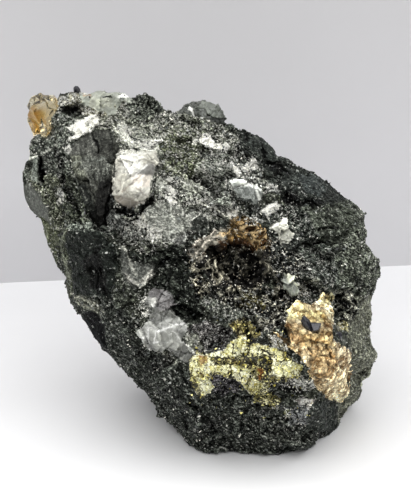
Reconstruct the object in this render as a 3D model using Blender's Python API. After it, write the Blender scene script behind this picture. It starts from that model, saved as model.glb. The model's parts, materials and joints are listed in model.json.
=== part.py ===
"""A hand specimen of cassiterite ore, 100 mm long, standing on one end with its broad face leaning back.

One dark chlorite rock carries the other minerals: a slab and small crystals of cassiterite, lumps of white
and smoky quartz, honey-coloured crystals, a mass of chalcopyrite, an iron-stained crust and a crystal-lined
vug. The rock is modelled in a face frame, in millimetres: X to the right, Y into the rock, Z up, with the
broad face towards -Y and the middle of the rock at the origin. One empty leans that frame back and stands
it on the surface.
"""

import math
import random

import bmesh
import bpy
import numpy as np
from mathutils import Matrix, Vector, noise
from mathutils.bvhtree import BVHTree

MM = 0.001
LEAN_DEG = 20.0  # how far the broad face leans back from upright
CENTRE_HEIGHT = 33.0  # the middle of the rock, above the surface that the specimen stands on
GAP = 0.3  # between a mineral and the rock that it sits in
STATION = Vector((1.2, -300.0, 5.2))  # each profile below is the shape seen from here, on the plane y = 0

BODY_SUBDIVISIONS = 7  # the rock is shaped fine, then thinned to BODY_TRIANGLES
BODY_TRIANGLES = 5100
FACET_SHARPNESS = 22.0  # higher makes the ridges between the rock's facets sharper
COARSE_CHIPS = ((17.0, 1.7), (9.0, 1.1))  # width and height of the chips that the facets broke to
FINE_CHIPS = ((4.2, 0.6),)
GRAIN = (2.2, 0.35)
CHIP_TILT = 1.2
CHIP_STEP = 0.7

# The broken faces of the rock: the direction that each one faces, and its distance from the middle.
FACETS = {
    "broad_front": ((-0.08, -0.99, 0.10), 21.0),
    "lower_front": ((0.10, -0.75, -0.65), 31.0),
    "lower_left_bevel": ((-0.70, -0.38, -0.60), 23.3),
    "left_flank": ((-0.75, -0.62, -0.20), 24.5),
    "upper_left_taper": ((-0.45, -0.82, 0.35), 27.0),
    "top_front": ((0.05, -0.66, 0.75), 27.0),
    "upper_right_bevel": ((0.50, -0.42, 0.76), 27.0),
    "right_shoulder": ((0.42, -0.84, 0.35), 24.0),
    "right_side": ((0.93, -0.36, -0.05), 32.5),
    "lower_right": ((0.80, -0.30, -0.50), 36.0),
    "underside": ((0.05, 0.25, -0.97), 38.0),
    "undercut": ((-0.75, 0.08, -0.66), 25.0),
    "left_end": ((-0.90, 0.15, 0.40), 42.0),
    "back": ((0.05, 0.97, 0.25), 25.0),
    "back_left": ((-0.55, 0.80, 0.20), 22.0),
    "back_right": ((0.60, 0.79, 0.10), 29.0),
    "back_top": ((0.10, 0.65, 0.75), 26.0),
    "back_lower": ((0.10, 0.80, -0.60), 34.0),
    "upper_right_back": ((0.55, 0.30, 0.78), 30.0),
    "right_back": ((0.90, 0.40, 0.10), 33.0),
}

# The rock's profile, as (x, z), clockwise from the corner under the honey crystals.
OUTLINE = [
    (-36.0, 28.5), (-33.5, 31.5), (-31.5, 35.5), (-30.0, 38.0), (-27.0, 38.5), (-19.0, 39.4), (-15.5, 38.8),
    (-14.5, 37.5), (-12.8, 38.4), (-11.0, 38.4), (-9.5, 36.5), (-6.5, 34.5), (-3.0, 35.0), (2.0, 34.0),
    (5.0, 33.0), (7.0, 31.5), (8.5, 31.5), (12.0, 29.2), (16.0, 25.0), (21.0, 22.9), (26.5, 19.6),
    (32.5, 14.5), (34.5, 13.0), (34.7, 9.0), (35.0, 6.0), (36.5, 4.5), (38.0, 1.5), (37.5, 0.0),
    (36.4, -3.0), (36.5, -9.0), (35.7, -9.5), (36.0, -13.5), (37.5, -18.0), (35.5, -21.0), (34.0, -22.0),
    (33.8, -26.3), (32.0, -27.5), (30.3, -29.5), (29.2, -32.0), (28.5, -34.6), (25.0, -35.6), (22.5, -37.3),
    (14.5, -38.5), (10.5, -37.8), (6.5, -36.8), (3.0, -37.4), (1.0, -38.8), (-1.4, -38.0), (-4.8, -34.3),
    (-9.3, -29.8), (-10.9, -26.0), (-15.2, -21.1), (-18.6, -17.5), (-21.0, -15.7), (-23.9, -10.6),
    (-27.2, -6.5), (-28.0, -3.8), (-30.8, 3.0), (-33.2, 9.0), (-36.8, 17.0), (-37.4, 21.0), (-36.2, 24.5),
]  # fmt: skip
OUTLINE_STEPS = 720  # angles round the rock at which its reach is fitted to the outline
OUTLINE_WINDOW = 4  # steps either side in which that reach is looked for

# Blocks of the front that stand proud of it or lie lower: profile, height and how wide the step is.
BLOCKS = {
    "lower_left_block": (
        [(-28.5, 10.0), (-21.0, 10.0), (-18.5, 7.5), (-18.0, 1.0), (-19.5, -4.5), (-25.0, -3.5),
         (-28.5, 2.5), (-29.5, 7.5)],
        2.0, 0.8,
    ),
    "slab_hollow": (
        [(-26.0, 27.0), (-22.0, 31.0), (-17.5, 31.0), (-17.0, 20.0), (-18.0, 12.0), (-21.5, 10.5),
         (-25.0, 16.0)],
        -1.1, 0.8,
    ),
    "right_shelf": (
        [(22.0, 12.0), (33.0, 16.0), (38.0, 8.0), (37.0, -2.0), (28.0, -2.0), (24.0, 4.0)],
        1.2, 1.2,
    ),
    "crust_bed": (
        [(15.0, -12.0), (18.5, -13.0), (18.5, -7.0), (27.0, -3.5), (28.5, -12.0), (31.0, -15.5),
         (30.0, -26.5), (22.5, -22.0)],
        1.1, 1.0,
    ),
    "middle_step": (
        [(-17.0, 11.0), (-9.0, 9.5), (-3.0, 11.0), (3.0, 10.5), (2.0, 22.0), (-8.0, 30.0), (-17.0, 26.0)],
        0.8, 1.2,
    ),
    "lower_right_block": (
        [(20.0, -26.0), (28.3, -27.0), (30.0, -33.0), (28.5, -37.0), (19.0, -36.0), (16.0, -31.0)],
        1.2, 1.2,
    ),
}  # fmt: skip

# Hollows of the front, and rises: where each is seen, its half width and half height, its turn, and its
# depth, which is negative for a rise.
HOLLOWS = {
    "vug": ((8.0, 2.5), (6.6, 5.6), -15.0, 6.0),
    "vug_pocket": ((3.2, 4.0), (1.5, 1.5), 0.0, 2.0),
    "vug_tail": ((15.0, -1.5), (5.0, 3.4), -25.0, 2.2),
    "slab_cleft": ((-22.6, 12.4), (1.1, 2.6), 22.0, 1.8),
    "shoulder_groove": ((10.6, 23.0), (1.5, 4.6), 33.0, 1.6),
    "crust_hollow": ((29.0, -10.0), (1.8, 2.2), 0.0, 1.2),
    "lower_notch": ((4.8, -35.0), (2.6, 2.2), 0.0, 1.6),
    "below_vug": ((-1.2, -5.2), (4.4, 6.2), 20.0, 1.5),
    "below_smoky_quartz": ((-2.5, -22.0), (4.0, 3.0), -40.0, 1.0),
    "top_peak": ((-11.6, 36.6), (3.0, 2.4), 0.0, -1.4),
    "foot_bulge": ((-0.5, -32.0), (3.4, 4.0), 30.0, -1.2),
    "smoky_quartz_rise": ((-8.0, -13.0), (4.8, 3.8), -30.0, -1.5),
    "smoky_quartz_lobe": ((-8.4, -7.2), (2.6, 3.4), 0.0, -1.0),
    "chalcopyrite_ridge": ((8.8, -12.0), (4.4, 3.2), -20.0, -1.1),
    "chalcopyrite_left": ((3.4, -19.0), (5.0, 4.0), 0.0, -1.0),
    "chalcopyrite_right": ((14.4, -18.6), (5.0, 3.4), -30.0, -1.0),
    "crust_rise": ((24.0, -15.5), (4.8, 7.0), 25.0, -0.9),
}

# Pits with flat walls, where crystals fell out: where each is seen, its half sizes (across, along, deep) and
# its turn.
PITS = {
    "slot": ((-33.4, 22.2), (1.1, 3.1, 2.6), 12.0),
    "top_pit": ((-26.6, 34.3), (2.2, 1.5, 2.6), -15.0),
    "right_cavity": ((29.2, -5.0), (2.3, 2.0, 3.0), -20.0),
    "crust_pit": ((31.3, -8.0), (1.0, 1.4, 1.8), 0.0),
}

# Stretches of the front that broke smooth, or rougher than the rest: profile, and its share of the chips.
TEXTURES = {
    "slab_face": (
        [(-25.5, 28.5), (-22.5, 30.5), (-19.5, 31.2), (-17.6, 30.2), (-17.3, 21.0), (-19.0, 11.5),
         (-21.0, 9.8), (-25.0, 16.0), (-26.5, 22.0)],
        0.15,
    ),
    "black_face": (
        [(-29.0, 8.0), (-24.0, 9.5), (-20.0, 6.0), (-19.5, 0.0), (-21.5, -5.0), (-26.0, -3.0)],
        0.3,
    ),
    "lower_left_face": (
        [(-25.3, -7.6), (-22.5, -6.8), (-19.8, -11.5), (-19.8, -17.0), (-21.5, -15.5)],
        0.1,
    ),
    "left_face": ([(-37.5, 20.0), (-34.5, 20.5), (-32.0, 15.0), (-32.3, 11.5), (-34.5, 12.5)], 0.2),
    "upper_right_face": (
        [(17.5, 23.5), (27.0, 19.8), (34.5, 13.0), (35.0, 8.0), (29.0, 9.5), (22.0, 15.0), (16.5, 20.5)],
        0.4,
    ),
    "right_block_face": ([(21.5, -26.5), (28.3, -27.0), (28.5, -34.5), (22.0, -33.5)], 0.4),
    "vug_surround": (
        [(-1.0, 11.0), (10.0, 13.0), (22.0, 6.0), (23.0, -6.0), (12.0, -9.5), (0.0, -4.0)],
        1.35,
    ),
}  # fmt: skip
TEXTURE_BLEND = 1.5  # how far a stretch takes to change to the next

# Minerals that lie level with the rock: profile, how deep it reaches (y), and its kind.
INLAYS = {
    "cassiterite_slab": (
        [(-25.2, 27.9), (-22.5, 30.2), (-19.7, 30.9), (-17.9, 30.0), (-17.6, 25.8), (-18.1, 21.0),
         (-18.5, 15.8), (-19.3, 12.0), (-21.0, 10.3), (-22.9, 12.4), (-24.8, 16.2), (-26.0, 21.0),
         (-25.8, 25.2)],
        -5.0, "cassiterite",
    ),
    "smoky_quartz": (
        [(-11.1, -3.2), (-8.8, -2.1), (-7.1, -3.6), (-5.9, -6.3), (-4.2, -9.0), (-2.5, -10.3),
         (-3.2, -12.8), (-1.9, -16.8), (-3.4, -17.9), (-6.3, -17.0), (-10.1, -15.1), (-12.6, -12.6),
         (-11.1, -9.0)],
        -12.0, "smoky_quartz",
    ),
    "chalcopyrite": (
        [(-0.8, -17.4), (2.9, -16.0), (6.7, -13.9), (7.6, -12.0), (5.5, -9.0), (9.0, -8.2), (12.2, -9.5),
         (13.9, -12.6), (17.6, -15.8), (20.2, -18.3), (20.6, -20.6), (17.6, -21.8), (14.3, -23.3),
         (10.5, -25.0), (6.7, -24.6), (4.6, -22.5), (2.1, -25.0), (0.0, -24.2), (-1.5, -20.4)],
        -12.0, "chalcopyrite",
    ),
    "iron_stained_crust": (
        [(15.1, -12.2), (17.2, -12.4), (18.7, -13.2), (18.7, -10.7), (18.3, -7.6), (20.2, -5.3),
         (22.5, -6.5), (24.8, -5.7), (26.2, -3.6), (27.4, -4.4), (27.7, -9.0), (28.6, -12.6),
         (30.4, -15.3), (30.3, -21.0), (29.8, -26.0), (28.4, -26.7), (25.6, -25.0), (22.7, -21.6),
         (21.6, -18.7), (19.3, -16.2), (16.8, -14.1)],
        -8.0, "iron_crust",
    ),
}  # fmt: skip
IN_FRONT = -40.0  # a depth that is clear of the rock, where the inlays' cutters start

# Lumps that stand proud, each of broken pieces grown together: its kind, then for each piece where it is
# seen, its half sizes (across, along, out), its turn in the face, and how far its middle stands off the rock.
LUMPS = {
    "white_quartz": ("white_quartz", [
        ((-13.2, 20.6), (4.6, 4.9, 3.4), -25.0, 0.5),
        ((-14.2, 16.9), (3.2, 3.4, 3.6), 0.0, 0.4),
        ((-12.4, 26.4), (5.0, 4.2, 2.2), 35.0, -0.3),
    ]),
    "quartz_knob": ("smoky_quartz", [
        ((1.5, 33.2), (3.9, 3.2, 3.4), 10.0, -0.2),
        ((-1.6, 33.8), (2.2, 1.8, 2.6), -15.0, -0.5),
    ]),
    "top_quartz": ("white_quartz", [
        ((-20.8, 36.6), (4.2, 2.0, 2.4), 4.0, -0.6),
        ((-17.0, 36.8), (2.2, 1.6, 2.0), -20.0, -0.5),
    ]),
    "quartz_crystal_upper": ("smoky_quartz", [((9.7, 17.2), (3.6, 2.2, 1.7), -8.0, 0.0)]),
    "quartz_crystal_middle": ("smoky_quartz", [((16.2, 9.2), (2.1, 2.6, 1.7), -15.0, 0.1)]),
    "quartz_crystal_lower": ("smoky_quartz", [((19.2, -2.2), (2.3, 2.0, 1.7), 10.0, 0.1)]),
    "honey_crystals": ("honey_crystal", [
        ((-32.9, 34.0), (2.7, 3.6, 3.0), 8.0, 0.2),
        ((-31.0, 36.0), (1.7, 2.2, 2.4), -24.0, 0.4),
        ((-34.6, 31.0), (1.4, 2.6, 2.2), -8.0, 0.3),
        ((-32.4, 30.6), (2.0, 1.6, 1.8), 35.0, 0.2),
        ((-34.6, 36.0), (1.4, 1.7, 1.8), 20.0, 0.3),
    ]),
}  # fmt: skip
LUMP_FACES = 13  # flat faces that each piece of a lump is broken to
PIT_FACES = 9

# Single cassiterite crystals, square prisms with pyramid ends: where each is seen, its width, its length, its
# turn and how far its middle stands off.
CASSITERITE_CRYSTALS = {
    "cassiterite_twin": [((21.9, -9.9), 2.6, 3.6, 15.0, 0.4), ((24.1, -11.0), 2.6, 4.0, -75.0, 0.4)],
    "cassiterite_grain": [((28.9, -12.8), 1.7, 2.2, 20.0, 0.2)],
    "cassiterite_tip": [((-25.7, 38.9), 1.3, 2.8, 15.0, 0.0)],
}

VUG_CRUST_CENTRE = (8.0, 2.8)
VUG_CRUST_DEPTH = -21.0
VUG_CRUST_HALF_SIZES = (7.8, 6.8, 8.6)  # across, along and into the rock
VUG_CRUST_TURN_DEG = 15.0
VUG_CRUST_UNEVENNESS = 0.4
VUG_MOUTH = (6.2, 5.2)  # half sizes of the stretch of wall that its crystals stand on
VUG_CRYSTALS = 15  # six-sided quartz points on the vug's wall
VUG_CRYSTAL_LENGTHS = (2.2, 4.2)
VUG_CRYSTAL_SLENDERNESS = 0.3  # half width over length
VUG_CRYSTAL_ROOT = 0.8  # how far a crystal starts below the wall

GOLDEN_ANGLE = math.pi * (3 - math.sqrt(5))

COLOURS = {  # base colour, roughness, metallic and transmission of each kind of mineral
    "rock": ((0.055, 0.065, 0.060), 0.75, 0.0, 0.0),
    "cassiterite": ((0.020, 0.020, 0.022), 0.35, 0.0, 0.0),
    "white_quartz": ((0.82, 0.80, 0.76), 0.45, 0.0, 0.1),
    "smoky_quartz": ((0.38, 0.40, 0.39), 0.25, 0.0, 0.4),
    "honey_crystal": ((0.80, 0.58, 0.25), 0.12, 0.0, 0.8),
    "chalcopyrite": ((0.72, 0.66, 0.28), 0.35, 0.9, 0.0),
    "iron_crust": ((0.62, 0.42, 0.22), 0.80, 0.0, 0.0),
    "vug_crust": ((0.16, 0.10, 0.05), 0.50, 0.0, 0.0),
}


# --- Blender objects ---------------------------------------------------------------------------------------


def clear_scene():
    for obj in list(bpy.data.objects):
        bpy.data.objects.remove(obj)


def material(kind):
    """The finish of one kind of mineral, made once and then shared."""
    if kind in bpy.data.materials:
        return bpy.data.materials[kind]
    colour, roughness, metallic, transmission = COLOURS[kind]
    made = bpy.data.materials.new(kind)
    made.use_nodes = True
    shader = made.node_tree.nodes["Principled BSDF"]
    shader.inputs["Base Color"].default_value = (*colour, 1.0)
    shader.inputs["Roughness"].default_value = roughness
    shader.inputs["Metallic"].default_value = metallic
    shader.inputs["Transmission Weight"].default_value = transmission
    made.diffuse_color = (*colour, 1.0)
    return made


def add_object(name, mesh_mm, stand, kind=None):
    """An object on the stand, from a mesh in face-frame millimetres. Without a kind it's a hidden cutter."""
    mesh_mm.transform(Matrix.Scale(MM, 4))
    obj = bpy.data.objects.new(name, mesh_mm)
    bpy.context.scene.collection.objects.link(obj)
    obj.parent = stand
    if kind:
        mesh_mm.materials.append(material(kind))
    else:
        obj.hide_render = True
        obj.display_type = "WIRE"
    return obj


def add_boolean(obj, other, operation):
    modifier = obj.modifiers.new(f"{operation.lower()}_{other.name}", "BOOLEAN")
    modifier.operation = operation
    modifier.solver = "EXACT"
    modifier.object = other


def mesh_from(fill):
    """A new mesh, filled by fill(bm)."""
    bm = bmesh.new()
    fill(bm)
    bmesh.ops.recalc_face_normals(bm, faces=bm.faces)
    mesh = bpy.data.meshes.new("solid")
    bm.to_mesh(mesh)
    bm.free()
    return mesh


def joined(name, meshes, stand, kind=None):
    """One object from meshes that grow through one another."""
    whole = add_object(name, meshes[0], stand, kind)
    for i, mesh in enumerate(meshes[1:]):
        add_boolean(whole, add_object(f"{name}_limb_{i}", mesh, stand), "UNION")
    return whole


def connected_vertices(bm):
    """The vertices of bm, in one set for each body."""
    unseen = set(bm.verts)
    bodies = []
    while unseen:
        body, waiting = set(), [unseen.pop()]
        while waiting:
            vertex = waiting.pop()
            body.add(vertex)
            fresh = {edge.other_vert(vertex) for edge in vertex.link_edges} & unseen
            unseen -= fresh
            waiting.extend(fresh)
        bodies.append(body)
    return bodies


def keep_largest_body(obj):
    """Applies the object's modifiers, and drops the crumbs that its cuts leave loose."""
    bpy.context.view_layer.update()
    evaluated = obj.evaluated_get(bpy.context.evaluated_depsgraph_get())
    mesh = bpy.data.meshes.new_from_object(evaluated)
    bm = bmesh.new()
    bm.from_mesh(mesh)
    largest = max(connected_vertices(bm), key=len)
    bmesh.ops.delete(bm, geom=[v for v in bm.verts if v not in largest], context="VERTS")
    bm.to_mesh(mesh)
    bm.free()
    obj.modifiers.clear()
    obj.data = mesh


def centre_over_origin(stand):
    """Slides the stand along the surface until the middle of the specimen's box is over the origin."""
    bpy.context.view_layer.update()
    graph = bpy.context.evaluated_depsgraph_get()
    corners = [
        obj.matrix_world @ vertex.co
        for obj in stand.children if not obj.hide_render
        for vertex in obj.evaluated_get(graph).data.vertices
    ]  # fmt: skip
    for axis in (0, 1):
        places = [corner[axis] for corner in corners]
        stand.location[axis] -= (min(places) + max(places)) / 2


# --- Profiles ----------------------------------------------------------------------------------------------


def profile_of(points):
    """Where points, an array of (x, y, z), are seen from STATION, as (x, z) on the plane y = 0."""
    station = np.array(STATION)
    share = -station[1] / (points[:, 1] - station[1])
    return station[[0, 2]] + (points[:, [0, 2]] - station[[0, 2]]) * share[:, None]


def place_of(profile, depth):
    """The points at this depth y that are seen at these profile points: profile_of the other way round."""
    station = np.array(STATION)
    share = (depth - station[1]) / -station[1]
    flat = station[[0, 2]] + (profile - station[[0, 2]]) * np.reshape(share, (-1, 1))
    return np.column_stack([flat[:, 0], np.broadcast_to(depth, len(flat)), flat[:, 1]])


def inside_distance(points, outline):
    """How far each (x, z) point lies inside the outline, negative outside it."""
    corners = np.array(outline)
    nearest = np.full(len(points), np.inf)
    inside = np.zeros(len(points), bool)
    for a, b in zip(corners, np.roll(corners, -1, axis=0)):
        along = np.clip(((points - a) @ (b - a)) / ((b - a) @ (b - a)), 0, 1)
        nearest = np.minimum(nearest, np.linalg.norm(points - a - along[:, None] * (b - a), axis=1))
        crosses = (a[1] > points[:, 1]) != (b[1] > points[:, 1])
        rise = np.where(b[1] == a[1], 1.0, b[1] - a[1])
        inside ^= crosses & (points[:, 0] < (b[0] - a[0]) * (points[:, 1] - a[1]) / rise + a[0])
    return np.where(inside, nearest, -nearest)


def grown(outline, margin):
    """The outline's corners moved outward by margin, whichever way round it runs."""
    corners = np.array(outline)
    before, after = np.roll(corners, 1, axis=0), np.roll(corners, -1, axis=0)
    area = (corners[:, 0] * after[:, 1] - after[:, 0] * corners[:, 1]).sum()

    def outward(start, end):
        side = end - start
        normal = np.column_stack([side[:, 1], -side[:, 0]]) * np.sign(area)
        return normal / np.linalg.norm(normal, axis=1)[:, None]

    mitre = outward(before, corners) + outward(corners, after)
    spread = (mitre * outward(corners, after)).sum(axis=1)
    return corners + margin * mitre / np.maximum(spread, 0.5)[:, None]


def outline_radius(angles):
    """The outline's distance from the middle at each angle round it."""
    corners = np.array(OUTLINE)
    directions = np.column_stack([np.cos(angles), np.sin(angles)])
    found = np.zeros(len(angles))
    for a, b in zip(corners, np.roll(corners, -1, axis=0)):
        side = b - a
        cross = directions[:, 0] * side[1] - directions[:, 1] * side[0]
        cross = np.where(np.abs(cross) < 1e-9, 1e-9, cross)
        reach = (a[0] * side[1] - a[1] * side[0]) / cross
        along = (a[0] * directions[:, 1] - a[1] * directions[:, 0]) / cross
        hit = (reach > 0) & (along >= -1e-6) & (along <= 1 + 1e-6)
        found = np.where(hit, np.maximum(found, reach), found)
    return found


def fit_to_outline(points):
    """Stretches the points across the line of sight, so that their profile is the outline."""
    profile = profile_of(points)
    angles = np.arctan2(profile[:, 1], profile[:, 0])
    radii = np.linalg.norm(profile, axis=1)
    steps = ((angles + math.pi) / (2 * math.pi) * OUTLINE_STEPS).astype(int) % OUTLINE_STEPS
    reach = np.zeros(OUTLINE_STEPS)
    np.maximum.at(reach, steps, radii)
    beside = range(-OUTLINE_WINDOW, OUTLINE_WINDOW + 1)
    reach = np.max([np.roll(reach, shift) for shift in beside], axis=0)
    centres = (np.arange(OUTLINE_STEPS) + 0.5) / OUTLINE_STEPS * 2 * math.pi - math.pi
    stretch = np.interp(angles, centres, outline_radius(centres) / reach, period=2 * math.pi)
    return place_of(profile * stretch[:, None], points[:, 1])


# --- The rock ----------------------------------------------------------------------------------------------


def smooth_step(share):
    share = np.clip(share, 0, 1)
    return share * share * (3 - 2 * share)


def faceted_radius(directions):
    """The rock's radius along each direction: its facets' planes, with slightly rounded ridges."""
    total = np.zeros(len(directions))
    for facing, distance in FACETS.values():
        normal = np.array(facing) / np.linalg.norm(facing)
        total += np.maximum(directions @ normal / distance, 0) ** FACET_SHARPNESS
    return total ** (-1 / FACET_SHARPNESS)


def chip(place, size):
    """Height of a chipped surface: each cell of a pattern of this size has its own tilt and level."""
    scaled = place / size
    cell = noise.voronoi(scaled)[1][0]
    tilt = Vector([CHIP_TILT * noise.noise(cell * 7.3 + Vector((17.0 * axis, 0, 0))) for axis in range(3)])
    return tilt.dot(scaled - cell) + CHIP_STEP * noise.noise(cell * 3.1)


def coarse_height(place):
    return sum(height * chip(place, width) for width, height in COARSE_CHIPS)


def fine_height(place):
    width, height = GRAIN
    grain = height * noise.noise(place / width)
    return grain + sum(height * chip(place, width) for width, height in FINE_CHIPS)


def turned(offsets, degrees):
    """Offsets (x, z) turned back by this angle, so that a turned shape can be tested upright."""
    angle = math.radians(degrees)
    return np.column_stack([
        offsets[:, 0] * math.cos(angle) + offsets[:, 1] * math.sin(angle),
        -offsets[:, 0] * math.sin(angle) + offsets[:, 1] * math.cos(angle),
    ])  # fmt: skip


def texture_share(points, front):
    """How much of the chips each point of the rock shows: less where it broke smooth."""
    profile = profile_of(points)
    share = np.ones(len(points))
    for outline, texture in TEXTURES.values():
        within = smooth_step(inside_distance(profile, outline) / TEXTURE_BLEND + 0.5)
        share *= 1 + (texture - 1) * within * front
    return share


def feature_height(points, front):
    """How far the blocks, hollows and rises move each point out of the front."""
    profile = profile_of(points)
    height = np.zeros(len(points))
    for outline, rise, step in BLOCKS.values():
        height += rise * smooth_step(inside_distance(profile, outline) / step + 0.5)
    for centre, half_sizes, turn, depth in HOLLOWS.values():
        share = turned(profile - np.array(centre), turn) / np.array(half_sizes)
        height -= depth * np.sqrt(np.maximum(1 - (share**2).sum(axis=1), 0))
    return height * front


def displaced(bm, points, move):
    """The points, moved by a vector each, which move works out from them and from bm's normals there."""
    for vertex, point in zip(bm.verts, points):
        vertex.co = point
    bm.normal_update()
    return points + move(points, np.array([v.normal for v in bm.verts]))


def rock_body():
    """The whole specimen's rock in one closed mesh, before any mineral is let into it."""
    bm = bmesh.new()
    bmesh.ops.create_icosphere(bm, subdivisions=BODY_SUBDIVISIONS, radius=1.0)
    directions = np.array([v.co.normalized() for v in bm.verts])
    towards_viewer = np.array([0.0, -1.0, 0.0])

    def coarse(points, normals):
        front = smooth_step((0.15 - normals[:, 1]) / 0.3)
        height = np.array([coarse_height(Vector(p)) for p in points]) * texture_share(points, front)
        return normals * height[:, None]

    def fine(points, normals):
        front = smooth_step((0.15 - normals[:, 1]) / 0.3)
        height = np.array([fine_height(Vector(p)) for p in points]) * texture_share(points, front)
        return normals * height[:, None] + towards_viewer * feature_height(points, front)[:, None]

    points = displaced(bm, directions * faceted_radius(directions)[:, None], coarse)
    points = displaced(bm, fit_to_outline(points), fine)
    for vertex, point in zip(bm.verts, points):
        vertex.co = point
    mesh = bpy.data.meshes.new("body")
    bm.to_mesh(mesh)
    bm.free()
    return mesh


def thinned(mesh, triangles):
    """The mesh with about this many triangles, fewest where it is flat."""
    holder = bpy.data.objects.new("thinned", mesh)
    bpy.context.scene.collection.objects.link(holder)
    modifier = holder.modifiers.new("thin", "DECIMATE")
    modifier.ratio = triangles / len(mesh.polygons)
    bpy.context.view_layer.update()
    evaluated = holder.evaluated_get(bpy.context.evaluated_depsgraph_get())
    made = bpy.data.meshes.new_from_object(evaluated)
    bpy.data.objects.remove(holder)
    return made


def cut_flat_below(mesh):
    """Cuts the rock off flat where it stands, and closes the cut."""
    lean = math.radians(LEAN_DEG)
    up = Vector((0, -math.sin(lean), math.cos(lean)))
    bm = bmesh.new()
    bm.from_mesh(mesh)
    everything = bm.verts[:] + bm.edges[:] + bm.faces[:]
    floor = up * -CENTRE_HEIGHT
    bmesh.ops.bisect_plane(bm, geom=everything, plane_co=floor, plane_no=up, clear_inner=True)
    bmesh.ops.holes_fill(bm, edges=[e for e in bm.edges if e.is_boundary], sides=0)
    bmesh.ops.recalc_face_normals(bm, faces=bm.faces)
    bm.to_mesh(mesh)
    bm.free()


# --- Minerals ----------------------------------------------------------------------------------------------


def prism(outline, near, far):
    """A closed prism whose sides run along the lines of sight through the outline, between two depths y."""
    corners = np.array(outline)

    def fill(bm):
        rings = [[bm.verts.new(p) for p in place_of(corners, depth)] for depth in (near, far)]
        bm.faces.new(rings[0])
        bm.faces.new(reversed(rings[1]))
        for i in range(len(corners)):
            after = (i + 1) % len(corners)
            bm.faces.new((rings[0][after], rings[0][i], rings[1][i], rings[1][after]))

    return mesh_from(fill)


def surface_at(tree, seen):
    """The point of the rock seen at a profile point, and the way its surface faces there."""
    direction = Vector((seen[0], 0, seen[1])) - STATION
    place, facing, _, _ = tree.ray_cast(STATION, direction)
    if place is not None:
        return place, facing
    passing = [STATION + direction * (1 + depth / -STATION.y) for depth in range(-20, 21)]
    place = min(passing, key=lambda point: tree.find_nearest(point)[3])  # closest to the rock on that line
    return place, tree.find_nearest(place)[1]


def seat(tree, seen, turn_deg, stand_off):
    """A matrix that puts a shape on the rock where it is seen: its Y points into the rock."""
    place, facing = surface_at(tree, seen)
    inward = (Vector((0, 1, 0)) - facing).normalized()
    frame = inward.to_track_quat("Y", "Z").to_matrix().to_4x4()
    turn = Matrix.Rotation(math.radians(turn_deg), 4, "Y")
    return Matrix.Translation(place - inward * stand_off) @ frame @ turn


def hull_of(points, matrix):
    """The convex mesh round a set of points, moved by matrix."""

    def fill(bm):
        for point in points:
            bm.verts.new(matrix @ Vector(point))
        made = bmesh.ops.convex_hull(bm, input=bm.verts[:])
        spare = {v for v in made["geom_interior"] + made["geom_unused"] if isinstance(v, bmesh.types.BMVert)}
        bmesh.ops.delete(bm, geom=list(spare), context="VERTS")

    return mesh_from(fill)


def broken_piece(half_sizes, faces, seed, matrix, margin=0.0):
    """A convex piece (across, along, out) with flat faces broken off all round, grown by margin."""
    spread = random.Random(seed)
    across, along, out = half_sizes
    cuts = []
    for i in range(faces):
        height = 1 - 2 * (i + 0.5) / faces
        angle = GOLDEN_ANGLE * i + spread.uniform(-0.5, 0.5)
        ring = math.sqrt(1 - height * height)
        height += spread.uniform(-0.15, 0.15)
        facing = Vector((ring * math.cos(angle), ring * math.sin(angle), height))
        facing.normalize()
        reach = Vector((facing.x * across, facing.y * out, facing.z * along)).length
        cuts.append((facing, reach * spread.uniform(0.86, 1.0) + margin))

    def fill(bm):
        bmesh.ops.create_cube(bm, size=4 * max(half_sizes))
        for facing, reach in cuts:
            whole = bm.verts[:] + bm.edges[:] + bm.faces[:]
            cut = bmesh.ops.bisect_plane(
                bm, geom=whole, plane_co=facing * reach, plane_no=facing, clear_outer=True
            )
            rim = [part for part in cut["geom_cut"] if isinstance(part, bmesh.types.BMEdge)]
            if rim:
                bmesh.ops.edgeloop_fill(bm, edges=rim)
        bmesh.ops.transform(bm, matrix=matrix, verts=bm.verts)

    return mesh_from(fill)


def lump_meshes(tree, name, margin):
    return [
        broken_piece(half_sizes, LUMP_FACES, f"{name}{i}", seat(tree, seen, turn, stand_off), margin)
        for i, (seen, half_sizes, turn, stand_off) in enumerate(LUMPS[name][1])
    ]


def cassiterite_meshes(tree, name, margin):
    meshes = []
    for seen, width, length, turn, stand_off in CASSITERITE_CRYSTALS[name]:
        half, shoulder, tip = width / 2 + margin, length * 0.3, length / 2 + margin
        ring = [(half, 0), (0, half), (-half, 0), (0, -half)]
        corners = [(x, y, z) for x, y in ring for z in (-shoulder, shoulder)] + [(0, 0, tip), (0, 0, -tip)]
        meshes.append(hull_of(corners, seat(tree, seen, turn, stand_off)))
    return meshes


def vug_frame(tree):
    """A matrix from the middle of the vug: X across it, Y into the rock, Z along it."""
    place, _ = surface_at(tree, VUG_CRUST_CENTRE)
    turn = Matrix.Rotation(math.radians(VUG_CRUST_TURN_DEG), 4, "Y")
    return Matrix.Translation((place.x, VUG_CRUST_DEPTH, place.z)) @ turn


def vug_crust_mesh(tree, margin):
    """The uneven space round the vug that its crust fills."""
    sizes = [size + margin for size in VUG_CRUST_HALF_SIZES]
    matrix = vug_frame(tree)

    def fill(bm):
        bmesh.ops.create_icosphere(bm, subdivisions=3, radius=1.0)
        for vertex in bm.verts:
            way = vertex.co.normalized()
            reach = 1 + VUG_CRUST_UNEVENNESS * noise.noise(way * 2.0 + Vector((5.1, 0, 0)))
            vertex.co = matrix @ (Vector((way.x * sizes[0], way.y * sizes[2], way.z * sizes[1])) * reach)

    return mesh_from(fill)


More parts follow.
